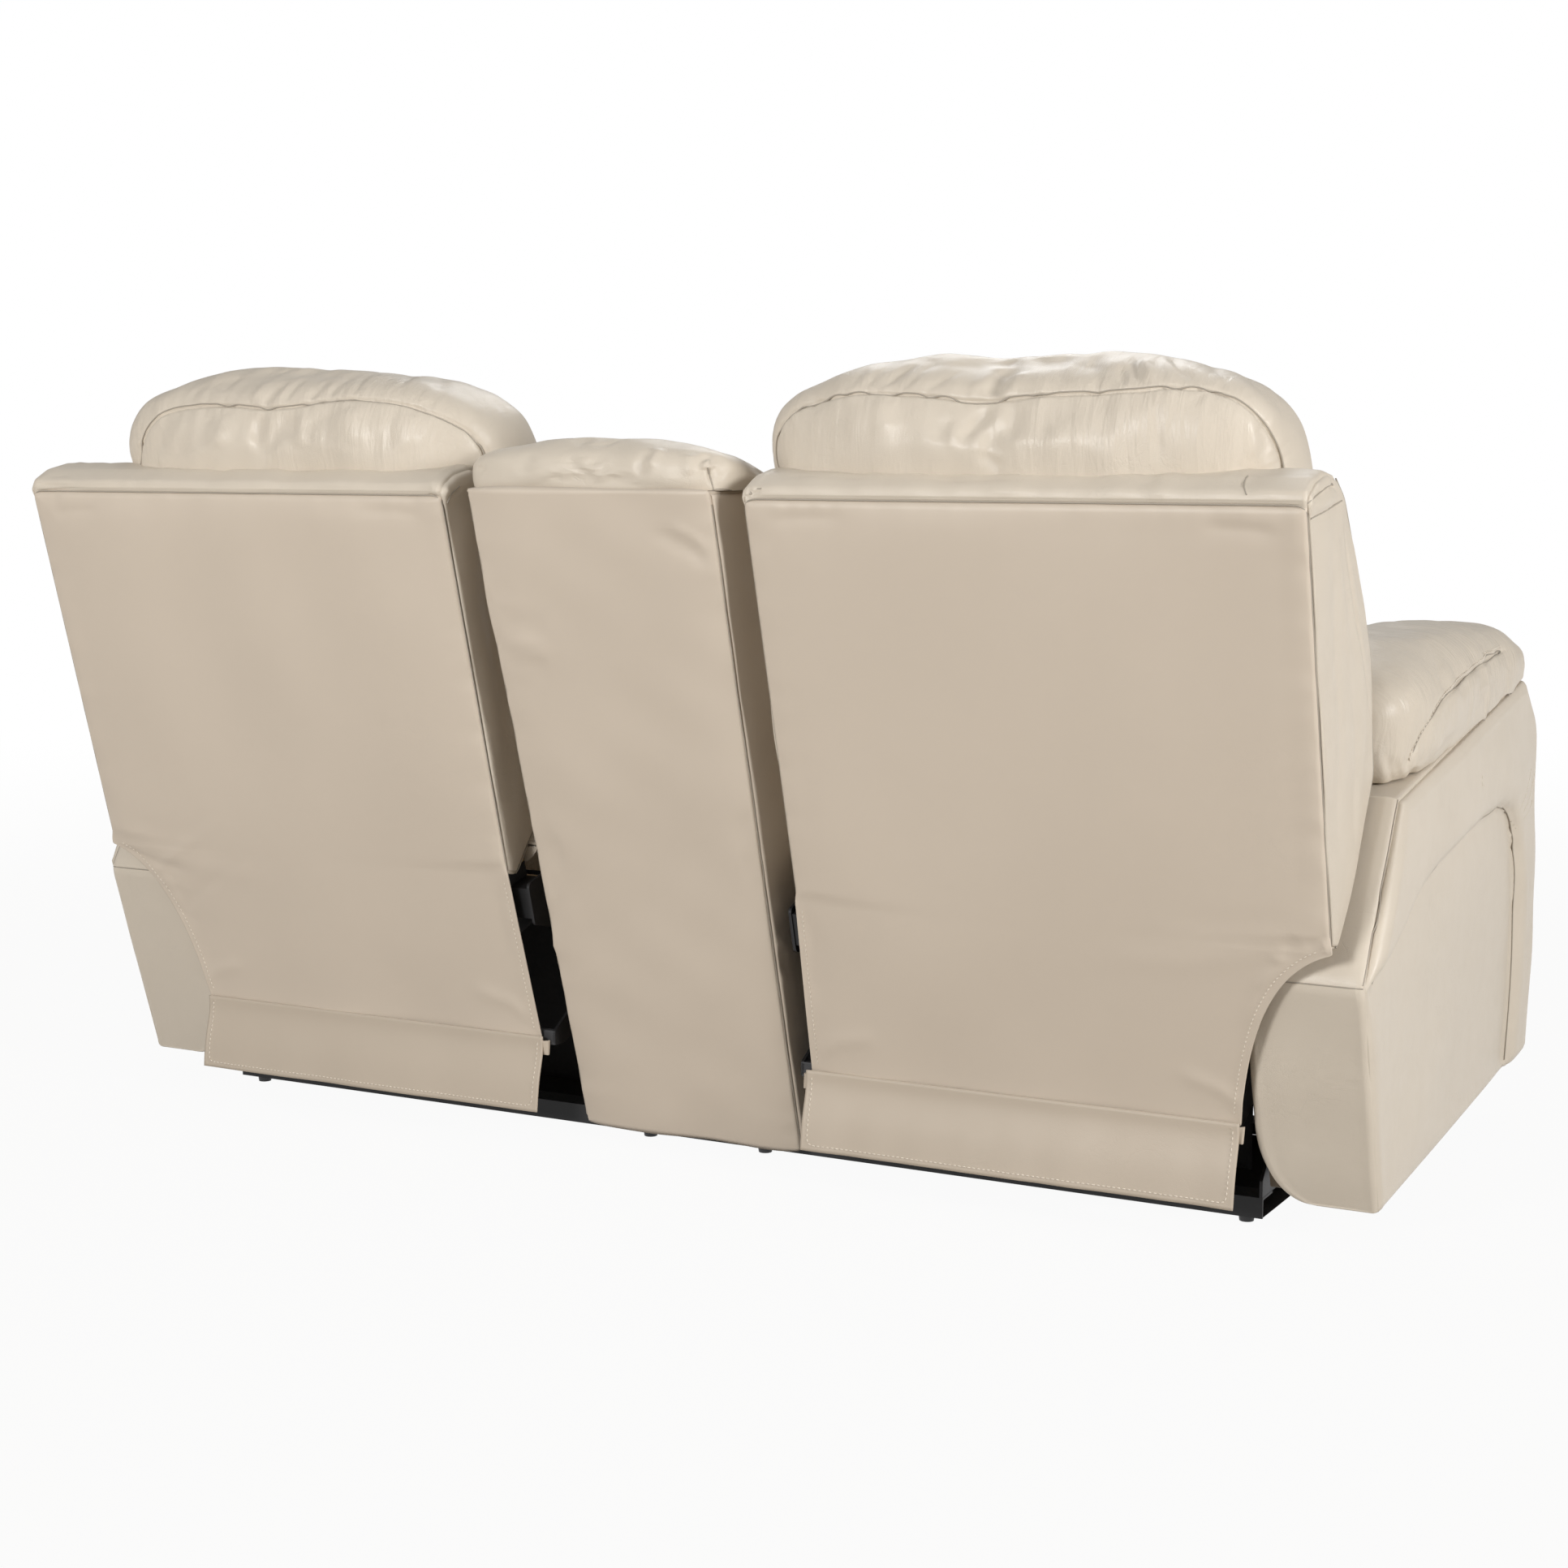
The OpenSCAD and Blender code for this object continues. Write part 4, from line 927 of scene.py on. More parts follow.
def wing_edges():
    """The gusset's outline as four edges of depth and length: low, front, top and rear."""
    low = rounded_path([(0, FLAP_TOP), (22, 233), (172, 349)], [0, 8, 0])
    front = rounded_path([(172, 349), (205, 377), (211, 537), (177, 642), (141, 737), (112, 768)],
                         [0, 26, 80, 80, 30, 0])
    top = rounded_path([(0, BACK_TOP), (7, 780), (34, 786), (78, 783), (112, 768)], [0, 8, 30, 30, 0])
    rear = np.array([(0, FLAP_TOP), (0, BACK_TOP)])
    return low, front, top, rear


def wing_loop(grow=0):
    low, front, top, rear = wing_edges()
    loop = np.concatenate([low[:-1], front[:-1], top[::-1][:-1], rear[::-1][:-1]])
    return loop + outward(loop, loop)[2] * grow


def flap_inner_x(l):
    return np.interp(l, [0, FLAP_TOP], [FLAP_X0, BACK_X0])


def flap_outer_x(l):
    """The flap's outer edge is cut in a curve round the arm."""
    t = np.linspace(0, 1, 60)
    x = (1 - t) ** 2 * BACK_X1 + 2 * t * (1 - t) * 806 + t * t * FLAP_X1
    up = (1 - t) ** 2 * 237 + 2 * t * (1 - t) * 205
    return np.where(l > 240, BACK_X1, np.interp(l, up[::-1], x[::-1]))


# Long soft folds down the gussets: the gusset's x, points of depth and length, a height and a width
GUSSET_FOLDS = (
    (BACK_X1, [(34, 300), (60, 470), (70, 640), (52, 735)], -2.4, 12),
    (BACK_X1, [(120, 330), (150, 450), (148, 600), (118, 700)], 2.4, 18),
    (BACK_X1, [(90, 300), (118, 420), (112, 560)], -1.8, 10),
    (BACK_X0, [(30, 300), (52, 480), (60, 700)], -2.6, 14),
    (BACK_X0, [(90, 380), (110, 520), (100, 660)], 2.2, 20))
# Pulls from the wing's foot into the flap, and soft hollows where the panel hangs from its corners: points
# of x and length, a height and a width
PANEL_FOLDS = (
    ([(880, 262), (820, 232), (740, 214), (600, 205)], 0.9, 16),
    ([(890, 285), (800, 268), (700, 262)], -0.8, 18),
    ([(868, 236), (820, 190), (792, 120)], 1.2, 10),
    ([(800, 20), (760, 46), (700, 66)], 1.8, 10),
    ([(214, 22), (250, 50), (320, 66)], 1.8, 12),
    ([(226, 250), (238, 180), (232, 90)], -1.6, 12),
    ([(880, 735), (840, 742), (780, 744)], -1.5, 8),
    ([(240, 742), (290, 748), (360, 748)], -1.3, 8))


# Folds of the covers and flaps, in pixels of the photograph, with a height and a width in mm.
# A fold of the cover as deep as SEWN is a seam.
SEWN = -2.5
COVER_FOLDS = {
    "right": (
        ([(1537, 587), (1531, 597), (1536, 610)], -2.6, 3),
        ([(1459, 587), (1448, 597), (1446, 609)], 1.8, 4),
        ([(1084, 597), (1187, 601), (1289, 600)], 1.2, 6),
        ([(951, 597), (1033, 595), (1099, 601)], 1.2, 7),
        ([(1611, 621), (1621, 611), (1637, 598), (1649, 592)], -3, 2.8),
        ([(1615, 639), (1634, 629), (1653, 617)], -3, 2.8),
        ([(1615, 629), (1631, 617), (1649, 604)], 2.4, 7),
        ([(1613, 619), (1618, 612), (1626, 606)], -2.4, 4),
        ([(1652, 618), (1655, 661), (1660, 707), (1666, 756), (1678, 830), (1686, 882), (1692, 928)],
         -2.4, 4.5),
        ([(1643, 640), (1647, 707), (1655, 775), (1667, 854)], 1.6, 9),
        ([(909, 612), (917, 603), (925, 593)], -2.6, 2.8),
        ([(914, 617), (919, 610), (928, 603)], -2.4, 2.8)),
    "left": (
        ([(527, 612), (536, 608), (544, 617)], -2.8, 3),
        ([(551, 620), (555, 609), (566, 599)], -2.6, 3),
        ([(252, 605), (274, 604), (334, 606)], 1.4, 6),
        ([(530, 605), (541, 604), (551, 605)], 1.8, 5),
        ([(44, 613), (54, 598), (80, 584)], -2.4, 3),
        ([(37, 603), (58, 592), (88, 586)], -1.8, 3))}
FLAP_FOLDS = {
    "right": (
        ([(1577, 1183), (1589, 1164), (1600, 1153)], -1.5, 8),
        ([(1568, 1191), (1579, 1176), (1583, 1162)], 1.3, 8),
        ([(1604, 1168), (1623, 1160), (1642, 1153)], -1.2, 7),
        ([(1547, 1221), (1562, 1202), (1572, 1191)], 1.0, 8),
        ([(1645, 1166), (1636, 1164), (1627, 1168)], 1.8, 6)),
    "left": (
        ([(150, 1040), (185, 1060), (240, 1075)], -1.6, 7),
        ([(160, 1055), (200, 1085), (250, 1095)], 1.4, 8),
        ([(205, 1110), (235, 1130), (265, 1140)], -1.0, 8))}


# Stations across the back cover, close together where it steps in between the gussets
COVER_STATIONS = ([0, 0.13, 0.18, 0.22, 0.25, 0.62, 0.65, 0.69, 0.74, 0.87, 1.0],
                  [BACK_X0, 227, 233, 238, 246, 722, 728, 736, 744, 896, BACK_X1])
# Stations up the rear panel, close together at the flap's top and at both ends
PANEL_STATIONS = ([0, 0.04, 0.30, 0.36, 0.40, 0.5, 0.90, 1.0], [0, 8, 222, 238, 246, 300, 735, BACK_TOP])


def back_cover(side):
    s = sizes()
    k = sign_of(side)
    piece, x, at, a, b, c = side_block(f"{side}_back_cover_shell", wing_edges(), BACK_X0, BACK_X1,
                                       mm(s.edge_round), 84, COVER_STATIONS)
    d, l = at.T
    # Between the two gussets the cover is only as deep as the frame that it wraps
    wing = np.maximum(1 - smooth((x - 234) / 8), smooth((x - 726) / 12))
    depth = mix(61, 104, smooth((l - 690) / 40))
    d = np.where(d > depth, depth + (d - depth) * wing, d)
    # The rear face sits just under the rear panel
    d = np.where(d < 4, np.maximum(d, 2.6 * smooth((l - 236) / 6)), d)
    put(piece, back_at(x * k, d, l))
    face_out(piece)
    p = places(piece)
    gusset = np.abs(c[:, 0]) > ON_FACE
    lift = np.where(gusset, swell(b, 4, 26), 0) - dip(a + b, 2.6, 3.2)
    lift += np.where(gusset, unevenness(p, [(170, 1.2), (60, 0.35)], 11 + k) * s.crease, 0)
    for gusset_x, line, height, width in GUSSET_FOLDS:
        world = back_at(gusset_x * k, *np.transpose(line))
        lift += np.where(gusset, ridge(p, world, height * s.crease, width), 0)
    # The roll along the top swells softly
    roll = (l > BACK_TOP - 1) & ~gusset
    far, run = to_path(p, back_at(np.linspace(BACK_X0, BACK_X1, 60) * k, 0, BACK_TOP))
    waves = ripple(run, [(170, 1.2), (52, 0.6)], 21 + k) * s.crease * smooth(far / 10)
    lift += np.where(roll, swell(far, 4.5, 9) * smooth(a / 18) + waves, 0)
    # The wrapped corners stand up a little, like ears
    corner = smooth((l - BACK_TOP + 22) / 22) * np.exp(-np.minimum(x - BACK_X0, BACK_X1 - x) / 14)
    lift += 3.5 * corner * (d < 70)
    lift += Skin(piece).folds(p, COVER_FOLDS[side], s.crease)
    raise_by(piece, lift)
    upholster(piece, f"{side}_back_cover", "leather", f"{side}_back", "matte_vinyl")
    return piece


def back_panel(side):
    """The rear panel and the flap below it, cut from one piece of vinyl."""
    s = sizes()
    k = sign_of(side)
    radius = mm(s.edge_round)
    piece = grid_start(f"{side}_rear_panel", 110, 150)
    c = places(piece) * MM
    u, l = crowd(c[:, 0], 0.80), np.interp((c[:, 1] + 1) / 2, *PANEL_STATIONS)
    x_in, x_out = flap_inner_x(l), flap_outer_x(l)
    x = mix(x_in, x_out, u)
    # Above the flap the sheet rolls into the side seams and the top seam
    held = smooth((l - 240) / 22)
    a = np.minimum(x - x_in, x_out - x)
    sx = np.where(u > 0.5, 1.0, -1.0)
    plane = np.where(u > 0.5, BACK_X1, BACK_X0)
    close = a < radius
    w = np.stack([radius - a, np.full(len(a), radius)], -1)
    w /= np.linalg.norm(w, axis=1)[:, None]
    x_round = plane - sx * radius + sx * radius * w[:, 0]
    x = np.where(close, mix(x, x_round, held), x)
    top = BACK_TOP - l
    d = np.where(close, (radius - radius * w[:, 1]) * held, 0.0) + dip(top, 6.0, 5.0)
    # The panel is a little fuller low down, and pulls in towards the flap's foot
    seam_gap = np.minimum(a, top)
    lift = swell(np.maximum(seam_gap, 0), mm(s.panel_puff), mix(70, 20, held)) * smooth(l / 230)
    world = back_at(x * k, d, l)
    lift += unevenness(world, [(420, 2.2), (190, 0.8)], 31 + k) * s.crease * smooth(seam_gap / 40)
    across, up = np.linspace(BACK_X0, BACK_X1, 30) * k, np.linspace(FLAP_TOP, BACK_TOP, 30)
    seams = (back_at(BACK_X0 * k, 0, up), back_at(BACK_X1 * k, 0, up), back_at(across, 0, BACK_TOP))
    for j, line in enumerate(seams):
        lift += gathers(world, line, 0.9 * s.crease, 16, [(70, 0.8), (31, 0.5)], 41 + j + 7 * k, False) * held
    for line, height, width in PANEL_FOLDS:
        line_x, line_l = np.transpose(line)
        lift += ridge(world, back_at(line_x * k, 0, line_l), height * s.crease, width)
    # The free edges curl a little, and the foot hangs in shallow waves
    curl = 1.6 * np.exp(-np.minimum(a, l) / 9)
    lift += (1 - held) * (curl + 1.4 * ripple(x, [(240, 1.0)], 51 + k) * smooth((120 - l) / 120))
    # It lies this far behind the plane of the back's rear face
    clear = 1.2
    world = back_at(x * k, d - (clear + lift), l)
    put(piece, world)
    face_rear(piece)
    raise_by(piece, Skin(piece).folds(world, FLAP_FOLDS[side], s.crease) * smooth(np.minimum(a, l) / 12))
    apply(piece, "SOLIDIFY", thickness=s.cloth, offset=-1.0)
    # Stitching runs down both edges of the flap, this far in and this far behind it
    inset, behind = 9, -8.0
    rows = np.linspace(12, 232, 50)
    outer = np.stack([flap_outer_x(rows), rows], -1)
    turn = np.gradient(outer, axis=0)
    turn /= np.linalg.norm(turn, axis=1)[:, None]
    outer += inset * np.stack([-turn[:, 1], turn[:, 0]], -1)
    paths = (back_at(outer[:, 0] * k, behind, outer[:, 1]),
             back_at((flap_inner_x(rows) + inset) * k, behind, rows))
    skin = Skin(piece)
    thread = stitching(f"{side}_panel_stitching", [skin.hug(p, 0.2, 5) for p in paths], None, "matte_vinyl")
    wear(piece, "matte_vinyl", None)
    start, end = [tuple(back_at(0, 0, up) * MM) for up in (FLAP_TOP, FLAP_HUNG)]
    for soft in (piece, thread):
        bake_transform(soft)
    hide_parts(f"{side}_back_flap")


def foot_sleeve(side):
    """Black cloth round the foot of the back's timber frame, where it stands below the cover."""
    piece = cube_start(f"{side}_foot_sleeve", 14)
    x, d, l = (places(piece) * MM).T
    at = back_at(span(229, 737, x) * sign_of(side), span(10, 58, d), span(147, 238, l))
    put(piece, at + unevenness(at, [(70, 0.8), (30, 0.4)], 57)[:, None] * (0.3, 0.9, 0.3))
    face_out(piece)
    wear(piece, "lining", f"{side}_back", "black_plastic")


def back_piping(side, cover):
    """Cords in the seams round the rear panel: folded edges, darkened to paint the seams' shadow."""
    k = sign_of(side)
    inset = mm(sizes().edge_round) * ROUND_INSET
    x_in, x_out, foot = BACK_X0 + inset, BACK_X1 - inset, 246
    path = spread(rounded_path([(x_in, foot), (x_in, BACK_TOP), (x_out, BACK_TOP), (x_out, foot)],
                               [0, 12, 12, 0]), 5)
    near_top = smooth((path[:, 1] - BACK_TOP + 14) / 14)
    paths = [soften(back_at(path[:, 0] * k, mix(inset - 1.0, 0.4, near_top), path[:, 1] - 2.0 * near_top))]
    # The gusset's front edge has a seam of its own
    low, front, _, _ = wing_edges()
    _, near, n = outward(wing_loop(), spread(np.concatenate([low[2:], front[1:]]), 6))
    paths += [soften(back_at(x * k, *(near - n * inset).T)) for x in (x_out, x_in)]
    skin = Skin(cover)
    paths += [soften(skin.traced(row[0], 0.3, 3), 1) for row in COVER_FOLDS[side] if row[1] <= SEWN]
    seam_cords(f"{side}_back_piping", paths, f"{side}_back", "matte_vinyl")


class LOVESEAT_OT_backs(bpy.types.Operator):
    """Makes both back covers with their rear panels, flaps and seams"""
    bl_idname = "loveseat.backs"
    bl_label = "Backs"

    def execute(self, context):
        for side in SIDES:
            cover = back_cover(side)
            back_panel(side)
            back_piping(side, cover)
            foot_sleeve(side)
        return {"FINISHED"}


def rest_on_back(p, gap=2.0):
    """Moves the points of a pillow that lie in the back cover out onto it."""
    loop = wing_loop(gap)
    dl = back_dl(p)
    deep = inside(dl, loop)
    if deep.any():
        _, near, _ = outward(loop, dl[deep])
        p = p.copy()
        p[deep] = back_at(p[deep, 0], near[:, 0], near[:, 1])
    return p


# Seams and folds of the head pillows, in pixels of the photograph; folds have a height and a width in mm
HEAD_SEAMS = {
    "right": [(954, 529), (974, 505), (1002, 491), (1063, 482), (1146, 487), (1187, 493), (1225, 493),
              (1284, 485), (1392, 480), (1443, 474), (1490, 476), (1520, 487), (1546, 507), (1572, 538),
              (1583, 569), (1588, 589)],
    "left": [(176, 523), (189, 510), (218, 500), (263, 498), (304, 500), (323, 505), (349, 502),
             (371, 500), (394, 494), (424, 492), (461, 493), (495, 495), (513, 501), (551, 515), (580, 530),
             (597, 546), (604, 555)]}
HEAD_FOLDS = {
    "right": (
        ([(1230, 492), (1225, 479), (1230, 464), (1243, 451)], -7, 13),
        ([(1189, 492), (1202, 476), (1223, 459), (1238, 446)], 3.5, 12),
        ([(1238, 492), (1246, 474), (1259, 456)], 3, 10),
        ([(1064, 481), (1079, 464), (1102, 452)], -2.2, 5),
        ([(1084, 479), (1105, 464), (1133, 450)], -2.4, 5),
        ([(1110, 481), (1128, 466), (1151, 452)], -2, 5),
        ([(1046, 481), (1056, 466), (1071, 456)], -1.5, 5),
        ([(1135, 484), (1161, 469), (1187, 456)], -1.6, 6),
        ([(1384, 451), (1382, 464), (1387, 476)], -3, 5),
        ([(1400, 443), (1397, 459), (1407, 476)], -3.4, 4.5),
        ([(1420, 443), (1431, 456), (1436, 471)], -3.2, 4.5),
        ([(1443, 446), (1456, 456), (1472, 471)], -2.6, 5),
        ([(1407, 446), (1415, 456), (1420, 471)], 2.6, 5),
        ([(1351, 441), (1348, 459), (1356, 476)], -1.6, 6),
        ([(1464, 440), (1490, 451), (1510, 471)], -1.8, 7),
        ([(1310, 446), (1307, 464), (1315, 481)], -1.2, 6),
        ([(1567, 476), (1577, 502), (1578, 530)], -1.2, 8),
        ([(1525, 459), (1546, 476), (1559, 497)], -1.2, 8),
        ([(1223, 497), (1207, 520), (1184, 543), (1174, 551)], -4.2, 9),
        ([(1238, 502), (1217, 528), (1197, 548)], 3, 10),
        ([(1207, 554), (1223, 569), (1238, 580)], -3.2, 8),
        ([(1176, 510), (1164, 530), (1161, 548)], -1.6, 9),
        ([(1259, 497), (1248, 523), (1238, 543)], -1.8, 10),
        ([(1423, 487), (1425, 523), (1429, 574)], -1.8, 6),
        ([(1554, 512), (1559, 543), (1562, 574)], -1.8, 7),
        ([(1536, 507), (1543, 538), (1546, 574)], 1.4, 8),
        ([(1490, 487), (1500, 523), (1497, 569)], -1.2, 10),
        ([(1048, 487), (1040, 523), (1038, 564)], -1.6, 12),
        ([(1099, 487), (1089, 512), (1099, 538)], 1.8, 14),
        ([(1289, 489), (1284, 518), (1292, 548)], -1.3, 9),
        ([(1356, 484), (1359, 512), (1366, 543)], -1.4, 9),
        ([(1002, 497), (992, 528), (991, 569)], -1.4, 10)),
    "left": (
        ([(323, 503), (338, 486), (355, 473)], -4, 7),
        ([(349, 499), (360, 482), (379, 470)], -3, 6),
        ([(379, 495), (398, 479), (409, 471)], -3, 7),
        ([(401, 493), (418, 477), (435, 467)], -2.6, 6),
        ([(437, 490), (444, 475), (457, 463)], -3.4, 5),
        ([(487, 490), (495, 473), (513, 458)], -3.4, 6),
        ([(530, 499), (539, 479), (554, 462)], -1.8, 10),
        ([(271, 486), (286, 473), (304, 467)], -1.8, 7),
        ([(226, 497), (241, 482), (263, 473)], -1.4, 8),
        ([(308, 497), (319, 486), (334, 473)], 2.4, 8),
        ([(607, 490), (625, 512), (633, 538)], -1.2, 12),
        ([(323, 507), (319, 527), (315, 561)], -3.2, 9),
        ([(338, 507), (334, 527), (332, 557)], 2.4, 10),
        ([(287, 505), (278, 527), (263, 553)], 2.6, 12),
        ([(263, 505), (252, 527), (248, 557)], -2.6, 12),
        ([(379, 503), (371, 527), (373, 557)], 2.6, 12),
        ([(356, 505), (360, 531), (360, 561)], -2.4, 11),
        ([(401, 501), (405, 523), (407, 553)], -2.2, 11),
        ([(439, 497), (433, 523), (437, 553)], 2.2, 14),
        ([(465, 497), (461, 527), (467, 564)], -1.8, 12),
        ([(203, 510), (196, 535), (196, 564)], -2, 10),
        ([(224, 505), (215, 535), (211, 568)], 1.4, 10),
        ([(510, 505), (498, 531), (510, 557)], 1.6, 18),
        ([(485, 499), (478, 527), (485, 557)], -1.6, 10))}


class LOVESEAT_OT_head_pillows(bpy.types.Operator):
    """Makes the two head pillows that lie over the tops of the backs"""
    bl_idname = "loveseat.head_pillows"
    bl_label = "Head Pillows"

    def execute(self, context):
        s = sizes()
        c = s.crease
        x0, mid_y, mid_z, high, deep, seam_foot = 199.0, 352.0, 900.0, 306.0, 236.0, 820.0
        ends, heights = {"right": 851.0, "left": 812.0}, {"right": 0.94, "left": 0.915}

        def place(p):
            z = mid_z + p[:, 2] * high / 2
            y = mid_y + (z - mid_z) * math.tan(TILT) - p[:, 1] * deep / 2
            return np.stack([span(x0, ends["right"], p[:, 0]), y, z], -1)

        base = pillow("left_head_pillow_cover", place, 0.52, 0.66, 60, mm(s.pillow_swell) * 0.6)
        for side, piece in (("right", twin(base, "right_head_pillow_cover")), ("left", base)):
            k = sign_of(side)
            x1 = ends[side]
            p = places(piece)
            p[:, 0] = k * (x0 + (np.abs(p[:, 0]) - x0) * (x1 - x0) / (ends["right"] - x0))
            p[:, 2] = mid_z + (p[:, 2] - mid_z) * np.where(p[:, 2] > mid_z, heights[side], 1)
            put(piece, p)
            skin = Skin(piece)
            rear = skin.traced(HEAD_SEAMS[side])
            # The seam runs on down both ends of the pillow
            first_x, last_x = (x0 * k, x1 * k) if side == "right" else (x1 * k, x0 * k)
            lead = skin.hug([(first_x, rear[0][1], seam_foot), tuple(rear[0])], 0, 6)
            tail = skin.hug([tuple(rear[-1]), (last_x, rear[-1][1], seam_foot)], 0, 6)
            rear = skin.hug(soften(np.concatenate([lead[:-3], rear[3:-3], tail[3:]]), 10), 0, 5)
            front = skin.hug([(x * k, 215, z) for x, z in (
                (216, 900), (240, 960), (320, 988), (520, 994), (720, 988), (806, 960), (832, 900))])
            lift = seam(p, rear, 4.5, 24, 3.0, 2.6) - 3.5
            lift += seam(p, soften(front, 4), 4, 26, 3.0, 3.4) - 3
            lift += gathers(p, rear, 1.2 * c, 24, [(60, 0.8), (31, 0.55), (17, 0.35)], 61 + k)
            lift += gathers(p, front, 2.6 * c, 34, [(66, 0.8), (34, 0.5)], 66 + k)
            lift += unevenness(p, [(230, 3.0), (100, 1.2), (44, 0.5)], 71 + k) * c
            lift += skin.folds(p, HEAD_FOLDS[side], c)
            raise_by(piece, lift)
            put(piece, rest_on_back(places(piece)))
            face_out(piece)
            upholster(piece, f"{side}_head_pillow", "head_leather", f"{side}_back", "leather")
            skin = Skin(piece)
            cords = skin.laid([rear], 0.1, 5, 2) + skin.laid([front], 0.1, 5, 3)
            seam_cords(f"{side}_head_piping", cords, f"{side}_back", "leather")
        return {"FINISHED"}


# The seats

# Side seams of the seat cushion as y and z, and the footrest pad's rim, in mm
SEAT_BOXING = ((96, 432), (40, 455), (-120, 470), (-300, 470), (-420, 452), (-455, 400), (-452, 350))
FOOTREST_RIM = ((192, -495, 120), (190, -495, 270), (192, -495, 425), (480, -512, 432), (772, -495, 425),
                (774, -495, 270), (772, -495, 120))
SEAT_STATIONS = np.linspace(196, 770, 24)


def dress_seat(piece, side, c):
    """Seat cushion: a cross seam near the front, boxing seams at the sides."""
    k, p, skin = sign_of(side), places(piece), Skin(piece)
    cross = skin.hug([(x * k, -301, 486) for x in SEAT_STATIONS])
    edges = [skin.hug(at_x(x * k, SEAT_BOXING)) for x in (188, 777)]
    front = skin.hug([(x * k, -458, 392) for x in SEAT_STATIONS])
    lift = seam(p, cross, 5, 30, 4, 4) - 4
    lift += gathers(p, cross, 2.4 * c, 42, [(66, 0.8), (33, 0.5)], 91 + k)
    for j, edge in enumerate(edges):
        lift += seam(p, edge, 3, 20, 3, 3.4) - 2.5
        lift += gathers(p, edge, 1.2 * c, 22, [(58, 0.8), (27, 0.4)], 95 + j + k)
    lift += seam(p, front, 2, 22, 3, 3.4) - 1.5 + gathers(p, front, 1.5 * c, 24, [(60, 0.8)], 97 + k)
    lift += unevenness(p, [(260, 2.6), (110, 1.2), (48, 0.4)], 101 + k) * c
    raise_by(piece, lift * smooth((p[:, 2] - 337) / 20))
    keep_above(piece, SEAT_LOW - 0.1)
    face_out(piece)
    upholster(piece, f"{side}_seat_cushion", "leather", f"{side}_carriage")
    cords = Skin(piece).laid((*edges, cross, front), 0.2, 6, 3)
    seam_cords(f"{side}_seat_piping", cords, f"{side}_carriage", "leather")


def dress_back(piece, side, c):
    """Back cushion: a cross channel at half height, gathered on both sides."""
    k, p, skin = sign_of(side), places(piece), Skin(piece)
    mid_line = skin.hug(back_at(np.linspace(206, 694, 24) * k, 250.0, 390.0))
    sides = [skin.hug(back_at(x * k, 200.0, np.linspace(240, 545, 16))) for x in (199, 700)]
    lift = seam(p, mid_line, 6, 30, 6, 6) - 5
    lift += gathers(p, mid_line, 4.0 * c, 46, [(70, 0.8), (36, 0.55), (20, 0.3)], 111 + k)
    lift += unevenness(p, [(210, 3.0), (90, 1.5), (42, 0.5)], 115 + k) * c
    for j, edge in enumerate(sides):
        lift += seam(p, edge, 3, 20, 3, 3.4) - 2.5 + gathers(p, edge, 1.4 * c, 22, [(52, 0.8)], 117 + j + k)
    raise_by(piece, lift * smooth((back_dl(p)[:, 0] - 64) / 20))
    # It stays in front of the frame and beside the inner gusset
    frame_d, gusset_x = 62, 235
    p = places(piece)
    d, l = back_dl(p).T
    low = d < frame_d
    inner = (np.abs(p[:, 0]) < gusset_x - 2) & inside(np.stack([d, l], -1), wing_loop(3))
    p[low] = back_at(p[low, 0], frame_d, l[low])
    p[inner, 0] = gusset_x * k
    put(piece, p)
    face_out(piece)
    upholster(piece, f"{side}_back_cushion", "leather", f"{side}_back")
    cords = Skin(piece).laid((mid_line, *sides), 0.3, 6, 3)
    seam_cords(f"{side}_cushion_piping", cords, f"{side}_back", "leather")


def dress_footrest(piece, side, c, pad_y):
    k, p, skin = sign_of(side), places(piece), Skin(piece)
    cross = skin.hug([(x * k, -520, 272) for x in SEAT_STATIONS])
    rim = skin.hug([(x * k, y, z) for x, y, z in FOOTREST_RIM])
    lift = seam(p, cross, 4, 26, 4, 4) - 3 + gathers(p, cross, 1.8 * c, 34, [(64, 0.8), (30, 0.4)], 121 + k)
    lift += seam(p, rim, 2, 16, 3, 3.4) - 1.5 + unevenness(p, [(220, 1.8), (90, 0.8)], 125 + k) * c
    raise_by(piece, lift * smooth((pad_y - p[:, 1]) / 14))
    face_out(piece)
    upholster(piece, f"{side}_footrest_pad", "leather", f"{side}_footrest")
    cords = Skin(piece).laid((cross, rim), 0.2, 6, 3)
    seam_cords(f"{side}_footrest_piping", cords, f"{side}_footrest", "leather")


